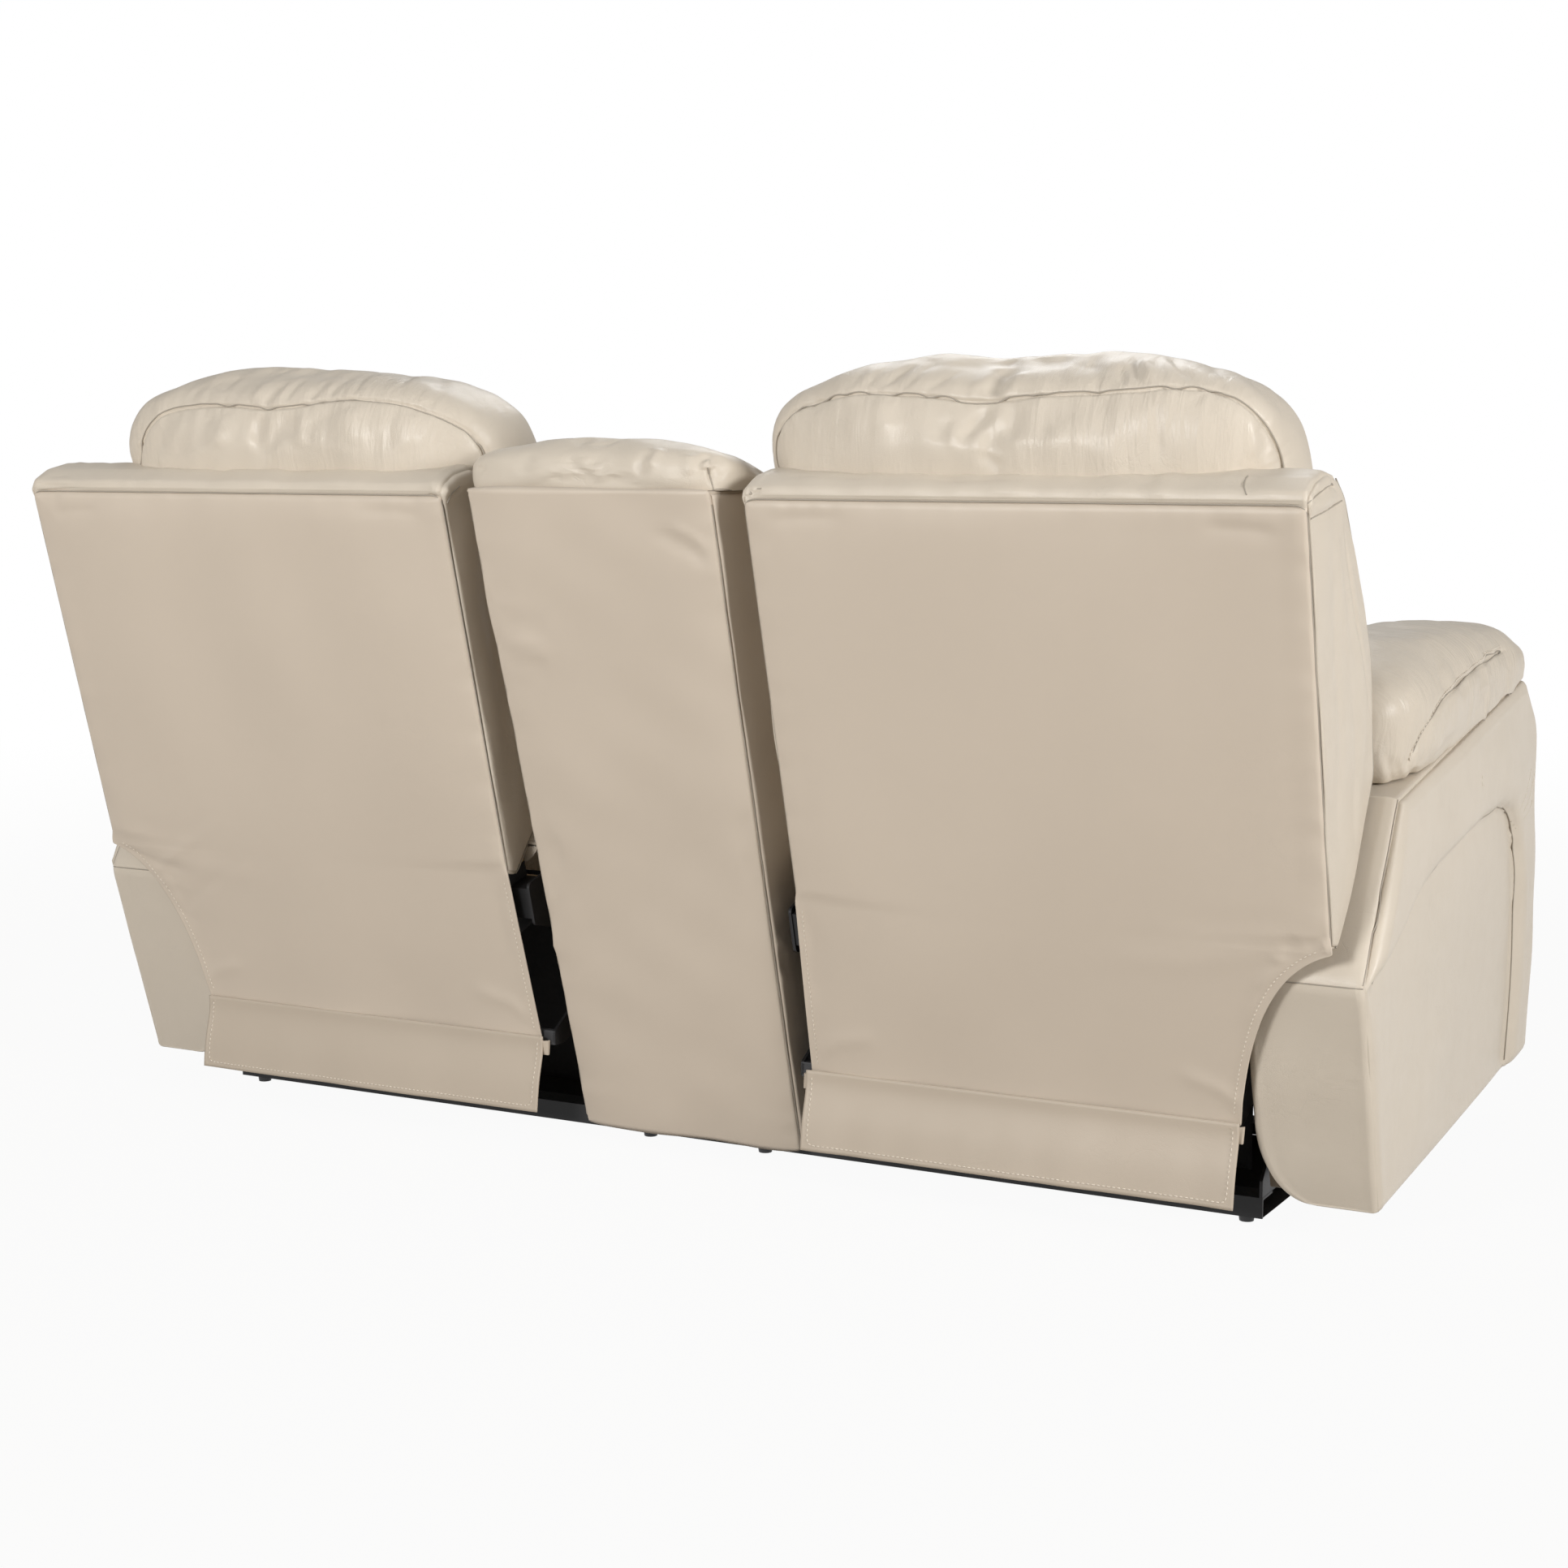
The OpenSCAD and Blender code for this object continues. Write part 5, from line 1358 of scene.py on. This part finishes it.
class LOVESEAT_OT_seats(bpy.types.Operator):
    """Makes the seat cushions, back cushions and footrest pads"""
    bl_idname = "loveseat.seats"
    bl_label = "Seats"

    def execute(self, context):
        s = sizes()
        c = s.crease
        fill = mm(s.cushion_swell)
        pad_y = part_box("left_footrest_board")[0][1] / MM - 0.6

        def seat_place(p):
            roll = 1 - 0.10 * p[:, 0] ** 2 - 0.14 * np.maximum(0, -p[:, 1]) ** 3
            groove = 1 - dip(p[:, 1] - 0.72, 0.05, 0.08)
            z = SEAT_LOW + np.where(p[:, 2] > 0, 156 * roll * groove * p[:, 2], 0)
            return np.stack([span(184, 781, p[:, 0]), span(113, -463, p[:, 1]), np.maximum(SEAT_LOW, z)], -1)

        def back_place(p):
            belly = 1 - 0.16 * p[:, 0] ** 2 - dip(p[:, 2], 0.10, 0.08)
            d = np.where(p[:, 1] > 0, mix(62, 258, p[:, 1] * belly), 62)
            return back_at(span(197, 702, p[:, 0]), d, span(220, 560, p[:, 2]))

        def foot_place(p):
            y = np.where(p[:, 1] > 0, mix(pad_y, -520, p[:, 1] * (1 - 0.2 * p[:, 0] ** 2)), pad_y)
            return np.stack([span(186, 779, p[:, 0]), y, span(107, 438, p[:, 2])], -1)

        made = (
            pillow("left_seat_cushion_cover", seat_place, 0.3, 0.42, 40, fill * 0.6, lambda p: p[:, 2] < 337),
            pillow("left_back_cushion_cover", back_place, 0.32, 0.45, 40, fill * 0.6,
                   lambda p: back_dl(p)[:, 0] < 63),
            pillow("left_footrest_cover", foot_place, 0.3, 0.4, 30, fill * 0.5, lambda p: p[:, 1] > pad_y - 1))
        for side in ("right", "left"):
            seat, rear, foot = made
            if side == "right":
                seat, rear, foot = [twin(q, q.name.replace("left", "right")) for q in made]
            dress_seat(seat, side, c)
            dress_back(rear, side, c)
            dress_footrest(foot, side, c, pad_y)
        return {"FINISHED"}


# The cloth under the seats

def skirt_sheet(side):
    """The vinyl skirt with a row of stitching round its free edges."""
    s = sizes()
    k = sign_of(side)
    piece = grid_start(f"{side}_skirt_sheet", 90, 24)
    c = places(piece) * MM
    v = (c[:, 1] + 1) / 2
    x, z = mix(SKIRT_X0, SKIRT_X1, crowd(c[:, 0], 0.6)), mix(SKIRT_Z0, SKIRT_Z1, v)
    y = mix(332.0, 313.4, smooth(v * 0.9 + 0.05)) + 2.2
    edge = np.minimum(np.minimum(x - SKIRT_X0, SKIRT_X1 - x), z - SKIRT_Z0)
    sway = ripple(x, [(260, 1.3), (95, 0.5)], 131 + k) * (1 - v) * s.crease
    sway += 1.2 * np.exp(-(v - 0.45) ** 2 / 0.05) + 1.0 * np.exp(-edge / 6) + dip(1 - v, 2.2, 0.12)
    put(piece, np.stack([x * k, y + sway, z], -1))
    face_rear(piece)
    apply(piece, "SOLIDIFY", thickness=s.cloth, offset=-1.0)
    inset = 9
    x_in, x_out, low, high = SKIRT_X0 + inset, SKIRT_X1 - inset, SKIRT_Z0 + inset, SKIRT_Z1 - inset
    run = spread(rounded_path([(x_in, high), (x_in, low), (x_out, low), (x_out, high)], [0, 3, 3, 0]), 6)
    path = np.stack([run[:, 0] * k, np.full(len(run), 345.0), run[:, 1]], -1)
    thread = stitching(f"{side}_skirt_stitching", [Skin(piece).hug(path, 0.2, 5)], f"{side}_carriage",
                       "matte_vinyl")
    wear(piece, "skirt_vinyl", f"{side}_carriage", "matte_vinyl")
    return piece, thread


def skirt_batten(side):
    """The batten that the skirt is stapled to."""
    deselect()
    bpy.ops.mesh.primitive_cube_add(size=1, location=(0.48085 * sign_of(side), 0.3007, 0.144), calc_uvs=False)
    batten = named(f"{side}_skirt_batten")
    batten.scale = (0.5812, 0.012, 0.020)
    bpy.ops.object.transform_apply(location=True, rotation=True, scale=True)
    apply(batten, "BEVEL", width=0.0015, segments=2)
    return wear(batten, "black_plastic", f"{side}_carriage", "timber")


def skirt_tabs(side):
    """Folded tabs where the flap is fixed over the skirt's corners."""
    for j, corner_x in enumerate((SKIRT_X0 + 2, SKIRT_X1 - 5)):
        tab = cube_start(f"{side}_skirt_tab_{j + 1}", 6)
        x, y, z = (places(tab) * MM / 2).T
        bend = 5 * np.cos(x * 4 + j) * (z + 0.5)
        put(tab, np.stack([(corner_x + x * 17) * sign_of(side), 312 + y * 4 + bend, 131 + z * 20], -1))
        apply(tab, "BEVEL", width=0.001, segments=2)
        face_out(tab)
        wear(tab, "skirt_vinyl", f"{side}_carriage", "matte_vinyl")


def dust_cloth(side):
    """Black cloth hung from the seat box's rear rail, which closes the view under the seat."""
    k = sign_of(side)
    x0, x1, z0, z1 = 218, 747, 44, 326
    cloth = grid_start(f"{side}_dust_cloth", 60, 30)
    c = places(cloth) * MM
    x, z = span(x0, x1, c[:, 0]), span(z0, z1, c[:, 1])
    y = 147.2 + smooth((252 - z) / 200) * (ripple(x, [(180, 3.0), (70, 1.2)], 137 + k) + 4)
    put(cloth, np.stack([x * k, y, z], -1))
    face_rear(cloth)
    apply(cloth, "SOLIDIFY", thickness=0.0006, offset=-1.0)
    wear(cloth, "lining", f"{side}_carriage", "black_plastic")


def base_lining():
    """Black cloth stretched over the base, from the front rail to the rear rail."""
    cloth = grid_start("base_lining", 90, 30)
    c = places(cloth) * MM
    rail_low, rail_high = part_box("cross_rails")
    x = c[:, 0] * (rail_high[0] / MM - 2)
    y = span(rail_low[1] / MM + 3, rail_high[1] / MM - 3, c[:, 1])
    sag = 0.6 + 3 * (1 - c[:, 1] ** 2) * (1 + 0.3 * np.cos(x / 90))
    put(cloth, np.stack([x, y, rail_low[2] / MM - sag], -1))
    face_out(cloth)
    apply(cloth, "SOLIDIFY", thickness=0.0006, offset=0)
    wear(cloth, "lining", "base", "black_plastic")


class LOVESEAT_OT_skirts(bpy.types.Operator):
    """Makes the vinyl skirts behind the seats, with their stitching and battens, and the dust cloths"""
    bl_idname = "loveseat.skirts"
    bl_label = "Skirts"

    def execute(self, context):
        for side in SIDES:
            piece, thread = skirt_sheet(side)
            batten = skirt_batten(side)
            skirt_tabs(side)
            dust_cloth(side)
            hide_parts(f"{side}_skirt")
        base_lining()
        return {"FINISHED"}


# The arms

# Where the side panel is sewn under the brow, as y and z in mm
ARM_SEAM = [(329, 335), (225, 366), (117, 414), (37, 432), (-42, 441), (-130, 452), (-217, 461),
            (-287, 463), (-330, 458), (-360, 444), (-385, 420), (-402, 385), (-411, 330), (-411, 250),
            (-405, 170), (-394, 92)]
# Lines and folds of the arm, in pixels of the photograph; folds have a height and a width in mm
ARM_STITCHING = (
    [(1863, 1018), (1872, 1010), (1881, 993), (1887, 974), (1891, 951)],
    [(1860, 1014), (1869, 1005), (1878, 987), (1883, 968), (1887, 946)],
    [(1866, 1022), (1875, 1014), (1885, 997), (1891, 978), (1894, 955)])
PILLOW_SEAM = [(1727, 970), (1732, 950), (1744, 922), (1762, 891), (1781, 864), (1805, 836), (1827, 818),
               (1848, 802), (1875, 792)]
PILLOW_WELT = [(1724, 985), (1732, 986), (1750, 974), (1775, 947), (1796, 923), (1824, 895), (1842, 873),
               (1861, 855), (1881, 839), (1886, 832)]
ARM_FOLDS = (
    ([(1870, 978), (1855, 963), (1840, 948)], 1.4, 14),
    ([(1864, 1046), (1870, 1092), (1870, 1168)], 1.8, 12),
    ([(1817, 1008), (1794, 1016), (1771, 1043)], 1.5, 12),
    ([(1874, 993), (1855, 982), (1824, 982)], -1.4, 10),
    ([(1703, 1031), (1693, 1092), (1680, 1153), (1669, 1191)], 1.8, 12),
    ([(1604, 1388), (1634, 1373), (1653, 1369)], -1.0, 14),
    ([(1589, 1263), (1619, 1252), (1653, 1255)], -1.0, 14))
ARM_PILLOW_FOLDS = (
    ([(1704, 922), (1713, 947), (1717, 970)], -3, 5.5),
    ([(1715, 928), (1723, 948), (1725, 968)], -2.4, 5),
    ([(1732, 965), (1749, 939), (1759, 922)], -1.8, 5),
    ([(1741, 968), (1759, 943), (1772, 933)], -1.6, 5),
    ([(1698, 913), (1704, 943), (1707, 971)], 1.8, 8),
    ([(1756, 940), (1775, 913), (1793, 897)], 1.2, 9),
    ([(1821, 836), (1827, 854), (1824, 873)], -0.9, 6),
    ([(1838, 824), (1844, 842), (1841, 861)], -0.9, 6),
    ([(1854, 812), (1862, 830), (1859, 845)], -0.9, 6),
    ([(1793, 854), (1802, 876), (1799, 894)], -0.9, 7))


def arm_edges():
    low = np.array([(258, 41), (-488, 84.0)])
    rear = rounded_path([(258, 41), (350, 331), (216, 535)], [0, 9, 0])
    top = np.array([(216, 535), (-425, 628.0)])
    front = rounded_path([(-488, 84), (-520, 330), (-515, 560), (-425, 628)], [0, 80, 62, 0])
    return low, front, top, rear


class LOVESEAT_OT_arms(bpy.types.Operator):
    """Makes the two padded arm bodies with their panels, seams and stitching"""
    bl_idname = "loveseat.arms"
    bl_label = "Arms"

    def execute(self, context):
        cr = sizes().crease
        radius = 12.0
        inset = radius * ROUND_INSET
        # The seam at the widest place of the rear end, and the height up to which the front end is one panel
        seam_y, seam_z, front_z = 349, 331, 334
        _, _, top_edge, rear_edge = arm_edges()
        for side in ("right", "left"):
            k = sign_of(side)
            piece, x, at, a, b, c = side_block(f"{side}_arm_body", arm_edges(), ARM_IN_X, ARM_OUT_X, radius, 92)
            y, z = at.T
            # The lower inner edge of the rear end is rounded
            cut = 65 * (1 - np.sqrt(1 - np.clip((137 - z) / 96, 0, 1) ** 2)) * smooth((y - 60) / 150)
            x = x + cut * smooth((ARM_OUT_X - x) / 130)
            put(piece, np.stack([x * k, y, z], -1))
            face_out(piece)
            p = places(piece)
            outer, tube = c[:, 0] > ON_FACE, np.abs(c[:, 0]) <= ON_FACE
            # The brow stands up round the side panel, which is sewn in under it
            path = at_x(ARM_OUT_X * k, spread(soften(spread(np.array(ARM_SEAM, float), 14), 4), 10))
            gap, _ = to_path(at_x(ARM_OUT_X * k, p[:, 1:]), path)
            in_panel = inside(p[:, 1:], np.array(ARM_SEAM + [(-380, 0), (300, 0), (400, 335)], float))
            rounding = np.sqrt(np.clip(1 - (1 - np.clip(gap / 26, 0, 1)) ** 2, 0, 1))
            brow = 17.0 * rounding * (1 - 0.35 * smooth((gap - 50) / 90))
            side_panel = swell(gap, 8.0, 40)
            lift = np.where(outer, (np.where(in_panel, side_panel, brow) - 5.5) * smooth((b + 6) / 26), 0)
            creases = gathers(p, path, cr, 18, [(80, 0.8), (34, 0.4)], 141 + k, False)
            lift += np.where(outer & ~in_panel, creases, 0)
            lift += np.where(outer, unevenness(p, [(300, 1.6), (120, 0.7)], 145 + k) * cr * smooth(b / 30), 0)
            if side == "right":
                lift += np.where(outer, Skin(piece).folds(p, ARM_FOLDS, cr), 0)
            # The rear end has an upper and a lower panel. The lower one lies flatter, so that the flap clears
            # it when the seat glides forward
            rear = tube & (p[:, 1] > 200) & (c[:, 1] < -ON_FACE)
            across = np.linspace(ARM_IN_X + 3, ARM_OUT_X - 3, 20)
            rear_seam = np.array([(q * k, seam_y, seam_z) for q in across])
            far, _ = to_path(p, rear_seam)
            puff = swell(far, mix(-1.5, 4.0, smooth((z - 325) / 20)), 22) * smooth(a / 22) - dip(far, 2.8, 3.2)
            lift += np.where(rear, puff + unevenness(p, [(120, 0.8)], 149 + k) * cr, 0)
            # The front end is one rounded panel
            lift += np.where(tube & (c[:, 1] > ON_FACE), 9 * smooth(a / 60), 0)
            lift -= dip(a + b, 2.2, 3.0) * ((p[:, 1] > -430) & (p[:, 2] > front_z))
            raise_by(piece, lift)
            upholster(piece, f"{side}_arm_cover", "leather", "base")
            skin = Skin(piece)
            outer_line = spread(rear_edge[rear_edge[:, 1] > front_z], 8)
            inner_line = spread(np.concatenate([rear_edge, top_edge[1:]]), 8)[26:]
            lines = (at_x((ARM_OUT_X - inset) * k, outer_line), at_x((ARM_IN_X + inset) * k, inner_line),
                     rear_seam)
            cords = skin.laid(lines, 0.1, 5, 2) + skin.laid([path], 0.2, 4, 2)
            seam_cords(f"{side}_arm_piping", cords, "base", "leather")
            # Three rows of stitching down the front end, traced on the right arm and mirrored
            if side == "right":
                rows = [skin.traced(row, 0.2, 5) for row in ARM_STITCHING]
            else:
                rows = [skin.hug(row * MIRROR, 0.2, 5) for row in rows]
            stitching(f"{side}_arm_stitching", rows, "base", "leather")
        return {"FINISHED"}


class LOVESEAT_OT_arm_pillows(bpy.types.Operator):
    """Makes the soft pillows on top of the arms"""
    bl_idname = "loveseat.arm_pillows"
    bl_label = "Arm Pillows"

    def execute(self, context):
        s = sizes()
        c = s.crease

        def place(p):
            y = span(190, -518, p[:, 0])
            top = 704 - 20 * p[:, 0] ** 2 - 14 * p[:, 1] ** 2
            return np.stack([span(720, 949, p[:, 1]), y, span(arm_top_line(y) - 24, top, p[:, 2])], -1)

        base = pillow("left_arm_pillow_cover", place, 0.42, 0.5, 44, mm(s.pillow_swell) * 0.5)
        for side, piece in (("right", twin(base, "right_arm_pillow_cover")), ("left", base)):
            k = sign_of(side)
            p = places(piece)
            skin = Skin(piece)
            if side == "right":
                outer, welt = soften(skin.traced(PILLOW_SEAM), 6), skin.traced(PILLOW_WELT)
                folds = skin.folds(p, ARM_PILLOW_FOLDS, c)
            else:
                outer, welt = outer * MIRROR, welt * MIRROR
            inner = skin.hug(at_x(722 * k, ((180, 585), (40, 622), (-130, 648), (-320, 668), (-470, 680))))
            lift = seam(p, outer, 5, 24, 3.0, 3.0) - 4 + seam(p, inner, 5, 26, 3.4, 4) - 3
            lift += dip(to_path(p, welt)[0], 2.6, 6)
            lift += gathers(p, outer, 1.3 * c, 22, [(48, 0.8), (23, 0.5)], 151 + k)
            lift += unevenness(p, [(200, 2.0), (80, 1.0), (36, 0.4)], 155 + k) * c + folds
            raise_by(piece, lift)
            # It lies on the arm, and its lips hang down beside it
            p = places(piece)
            over = (np.abs(p[:, 0]) > ARM_IN_X - 1) & (np.abs(p[:, 0]) < ARM_OUT_X + 3)
            bed = arm_top_line(p[:, 1]) + 3
            p[:, 2] = np.where(over & (p[:, 2] < bed), bed, p[:, 2])
            put(piece, p)
            face_out(piece)
            upholster(piece, f"{side}_arm_pillow", "arm_leather", "base", "leather")
            skin = Skin(piece)
            above = skin.laid([outer + (0, 0, 7)], 0.5, 5, 6)
            stitching(f"{side}_arm_pillow_stitching", above, "base", "leather", 4.6, 1.0)
            seam_cords(f"{side}_arm_pillow_piping", skin.laid([outer], 0.1, 5, 20), "base", "leather")
        return {"FINISHED"}


# The console

# Folds of the tall back and its cap, in pixels of the photograph, with a height and a width in mm
CONSOLE_FOLDS = (
    ([(799, 655), (836, 662), (859, 675), (881, 692)], -1.7, 7.5),
    ([(821, 644), (859, 662), (877, 681)], 1.5, 8),
    ([(818, 668), (851, 677), (877, 696)], -1.3, 7),
    ([(607, 731), (620, 724), (635, 720)], -1.5, 7),
    ([(609, 752), (635, 763), (683, 769)], -1.8, 9),
    ([(616, 780), (646, 776), (683, 784)], -2.4, 8),
    ([(618, 793), (650, 791), (687, 797)], 2.6, 9),
    ([(622, 804), (650, 815), (683, 823)], -2.2, 8),
    ([(629, 834), (650, 843), (672, 847)], -1.4, 8),
    ([(659, 1010), (683, 1036), (698, 1062)], -2.0, 9),
    ([(665, 1028), (691, 1062), (702, 1084)], -1.6, 9),
    ([(666, 1066), (676, 1088), (679, 1122)], 1.8, 9),
    ([(672, 1125), (683, 1159), (698, 1189)], 1.6, 10),
    ([(933, 1013), (915, 1024), (903, 1039)], -1.7, 7.5),
    ([(943, 1041), (928, 1054), (918, 1084)], -2.0, 7),
    ([(944, 1062), (933, 1080), (930, 1095)], -1.2, 7))
CAP_FOLDS = (
    ([(872, 576), (874, 584), (877, 594), (879, 603)], -3.6, 3.2),
    ([(880, 564), (868, 563), (859, 570), (861, 580), (869, 586)], -2.6, 5.5),
    ([(876, 569), (868, 569), (865, 575), (868, 580)], 2.2, 5),
    ([(877, 573), (886, 583), (887, 593)], -2.2, 6),
    ([(880, 563), (891, 573), (896, 585)], -1.5, 8),
    ([(809, 554), (793, 566), (789, 579), (791, 591)], -2.6, 8),
    ([(817, 552), (800, 565), (796, 577)], 1.9, 9),
    ([(590, 573), (582, 580), (571, 580)], -1.4, 6),
    ([(851, 559), (848, 573), (854, 587)], 1.5, 9),
    ([(658, 556), (646, 570), (644, 587)], -1.0, 14))
# Bunched creases low on the side that the photograph shows: points of y and z, a height and a width
BUNCHED = (
    ([(349, 345), (329, 330), (304, 322), (272, 318)], -4.0, 7),
    ([(344, 322), (316, 300), (284, 296)], 3.4, 8),
    ([(340, 300), (312, 276), (280, 276)], -3.4, 6),
    ([(356, 372), (326, 360), (288, 352)], 3.0, 9),
    ([(334, 280), (316, 262), (286, 258)], 2.4, 7))
# Half the width of the tall back at its foot and at its top
SLAB_HALF = (168, 178)


def slab_edge(way, z, inset=0.0):
    """The line up one rear edge of the tall back, as far in and forward as its rounding needs."""
    half = mix(*SLAB_HALF, (z - SLAB_FOOT[1]) / (SLAB_TOP_Z - SLAB_FOOT[1]))
    return np.stack([way * (half - inset), slab_rear(z) - inset * 0.9, z], -1)


def console_back():
    """The tall back behind the console, in rear vinyl."""
    s = sizes()
    cr = s.crease
    radius = mm(s.edge_round)
    (foot_y, z0), z1, wide = SLAB_FOOT, SLAB_TOP_Z, SLAB_HALF[1]
    step_y, top_y = slab_rear(36) - SLAB_DEPTH, slab_rear(z1)
    low = np.array([(foot_y, z0), (foot_y - 19, z0), (step_y, 37)])
    front = np.array([(step_y, 37), (top_y - SLAB_DEPTH, z1)])
    top = np.array([(top_y, z1), (top_y - SLAB_DEPTH, z1)])
    rear = np.array([(foot_y, z0), (top_y, z1)])
    piece, x, at, a, b, c = side_block("console_back_cover", (low, front, top, rear), -wide, wide, radius, 86)
    y, z = at.T
    put(piece, np.stack([x * slab_edge(1, z)[:, 0] / wide, y, z], -1))
    face_out(piece)
    p = places(piece)
    side_face, rear_face = np.abs(c[:, 0]) > ON_FACE, c[:, 1] < -ON_FACE
    lift = np.where(rear_face, swell(a, mm(s.panel_puff), 20), 0)
    lift += np.where(side_face, swell(b, 3.5, 24), 0) - dip(a + b, 2.6, 3.2)
    lift += np.where(rear_face | side_face, unevenness(p, [(230, 1.4), (90, 0.6)], 171) * cr, 0)
    for j, way in enumerate((1, -1)):
        line = slab_edge(way, np.linspace(z0, z1, 40))
        lift += np.where(rear_face, gathers(p, line, 1.1 * cr, 26, [(74, 0.8), (36, 0.5)], 175 + j, False), 0)
    lift += np.where(rear_face, Skin(piece).folds(p, CONSOLE_FOLDS, 1.2 * cr), 0)
    for line, height, width in BUNCHED:
        lift += np.where(side_face & (p[:, 0] < 0), ridge(p, at_x(-174, line), height * cr, width, 0.2), 0)
    raise_by(piece, lift)
    upholster(piece, "console_back", "matte_vinyl", "base")
    rows = np.linspace(z0 + 2, z1 - 16, 120)
    lines = [slab_edge(way, rows, radius * ROUND_INSET) for way in (1, -1)]
    seam_cords("console_back_piping", Skin(piece).laid(lines, 0.3, 5, 3), "base", "matte_vinyl")


def console_cap():
    """Cap pillow: it lies flat on the tall back's top and rolls over its edges."""
    cr = sizes().crease
    y0, y1 = slab_rear(SLAB_TOP_Z) - SLAB_DEPTH - 12, slab_rear(SLAB_TOP_Z) + 6

    def place(q):
        ahead = (1 + q[:, 1]) / 2
        top = 957 - 11 * q[:, 0] ** 2 - 40 * ahead ** 2
        return np.stack([q[:, 0] * 189, mix(y1, y0, ahead), span(872, top, q[:, 2])], -1)

    cap = pillow("console_cap_cover", place, 0.42, 0.6, 44, 4)
    p = places(cap)
    lift = unevenness(p, [(150, 1.5), (60, 0.6), (30, 0.2)], 185) * cr
    lift += Skin(cap).folds(p, CAP_FOLDS, 1.5 * cr)
    raise_by(cap, lift * smooth((p[:, 2] - SLAB_TOP_Z) / 16))
    keep_above(cap, SLAB_TOP_Z + 0.5)
    face_out(cap)
    upholster(cap, "console_cap", "leather", "base")
    rim = rounded_path([(w * 184, y, SLAB_TOP_Z + 1) for w, y in ((-1, 380), (-1, 505), (1, 505), (1, 380))],
                       [0, 14, 14, 0])
    skin = Skin(cap)
    cords = skin.laid([rim], -0.3, 5, 2) + [skin.traced(CAP_FOLDS[0][0], 0.2, 3)]
    seam_cords("console_cap_piping", cords, "base", "leather")


def console_lid():
    """The pad on the storage bin's lid."""
    cr = sizes().crease
    (_, y0, z0), (x1, y1, _) = [[v / MM for v in corner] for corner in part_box("console_lid_pad")]

    def place(q):
        z = z0 + 60 * (1 + q[:, 2]) / 2 - 6 * q[:, 0] ** 2
        return np.stack([q[:, 0] * (x1 - 3), span(y1 - 3, y0 + 3, q[:, 1]), np.maximum(z0, z)], -1)

    pad = pillow("console_lid_cover", place, 0.35, 0.5, 30, 8, lambda p: p[:, 2] < z0 + 1)
    p, skin, rim_z = places(pad), Skin(pad), z0 + 34
    rim = [skin.hug([(w * (x1 - 2), y, rim_z) for y in np.linspace(y0 + 8, y1 - 8, 24)]) for w in (1, -1)]
    rim.append(skin.hug([(x, y0, rim_z) for x in np.linspace(-x1 + 8, x1 - 8, 24)]))
    lift = unevenness(p, [(160, 1.4), (60, 0.5)], 191) * cr
    for j, line in enumerate(rim):
        lift += seam(p, line, 2, 18, 3, 3.4) - 1.6 + gathers(p, line, 0.9 * cr, 18, [(56, 0.8)], 193 + j)
    raise_by(pad, lift * smooth((p[:, 2] - z0 - 1) / 14))
    keep_above(pad, z0)
    face_out(pad)
    upholster(pad, "console_lid_pad", "leather", "lid")
    seam_cords("console_lid_piping", Skin(pad).laid(rim, 0.2, 5, 3), "lid", "leather")


class LOVESEAT_OT_console(bpy.types.Operator):
    """Makes the console's tall back, its cap pillow and its lid pad"""
    bl_idname = "loveseat.console"
    bl_label = "Console"

    def execute(self, context):
        console_back()
        console_cap()
        console_lid()
        return {"FINISHED"}


class LOVESEAT_PT_panel(bpy.types.Panel):
    """Lists the loveseat's sizes, colours and pieces"""
    bl_label = "Loveseat"
    bl_idname = "LOVESEAT_PT_panel"
    bl_space_type = "VIEW_3D"
    bl_region_type = "UI"
    bl_category = "Loveseat"

    def draw(self, context):
        layout = self.layout
        for group in (context.scene.loveseat_sizes, context.scene.loveseat_colours):
            box = layout.box()
            for key in group.__annotations__:
                box.prop(group, key)
        for step in STEPS:
            layout.operator(step.bl_idname)


STEPS = (LOVESEAT_OT_stage, LOVESEAT_OT_finishes, LOVESEAT_OT_backs, LOVESEAT_OT_head_pillows,
         LOVESEAT_OT_seats, LOVESEAT_OT_skirts, LOVESEAT_OT_arms, LOVESEAT_OT_arm_pillows, LOVESEAT_OT_console)
CLASSES = (LoveseatSizes, LoveseatColours, *STEPS, LOVESEAT_PT_panel)


def register():
    for cls in CLASSES:
        bpy.utils.register_class(cls)
    bpy.types.Scene.loveseat_sizes = bpy.props.PointerProperty(type=LoveseatSizes)
    bpy.types.Scene.loveseat_colours = bpy.props.PointerProperty(type=LoveseatColours)


def unregister():
    del bpy.types.Scene.loveseat_colours
    del bpy.types.Scene.loveseat_sizes
    for cls in reversed(CLASSES):
        bpy.utils.unregister_class(cls)


def main():
    register()
    for step in STEPS:
        getattr(bpy.ops.loveseat, step.bl_idname.split(".")[1])()


if __name__ == "__main__":
    main()
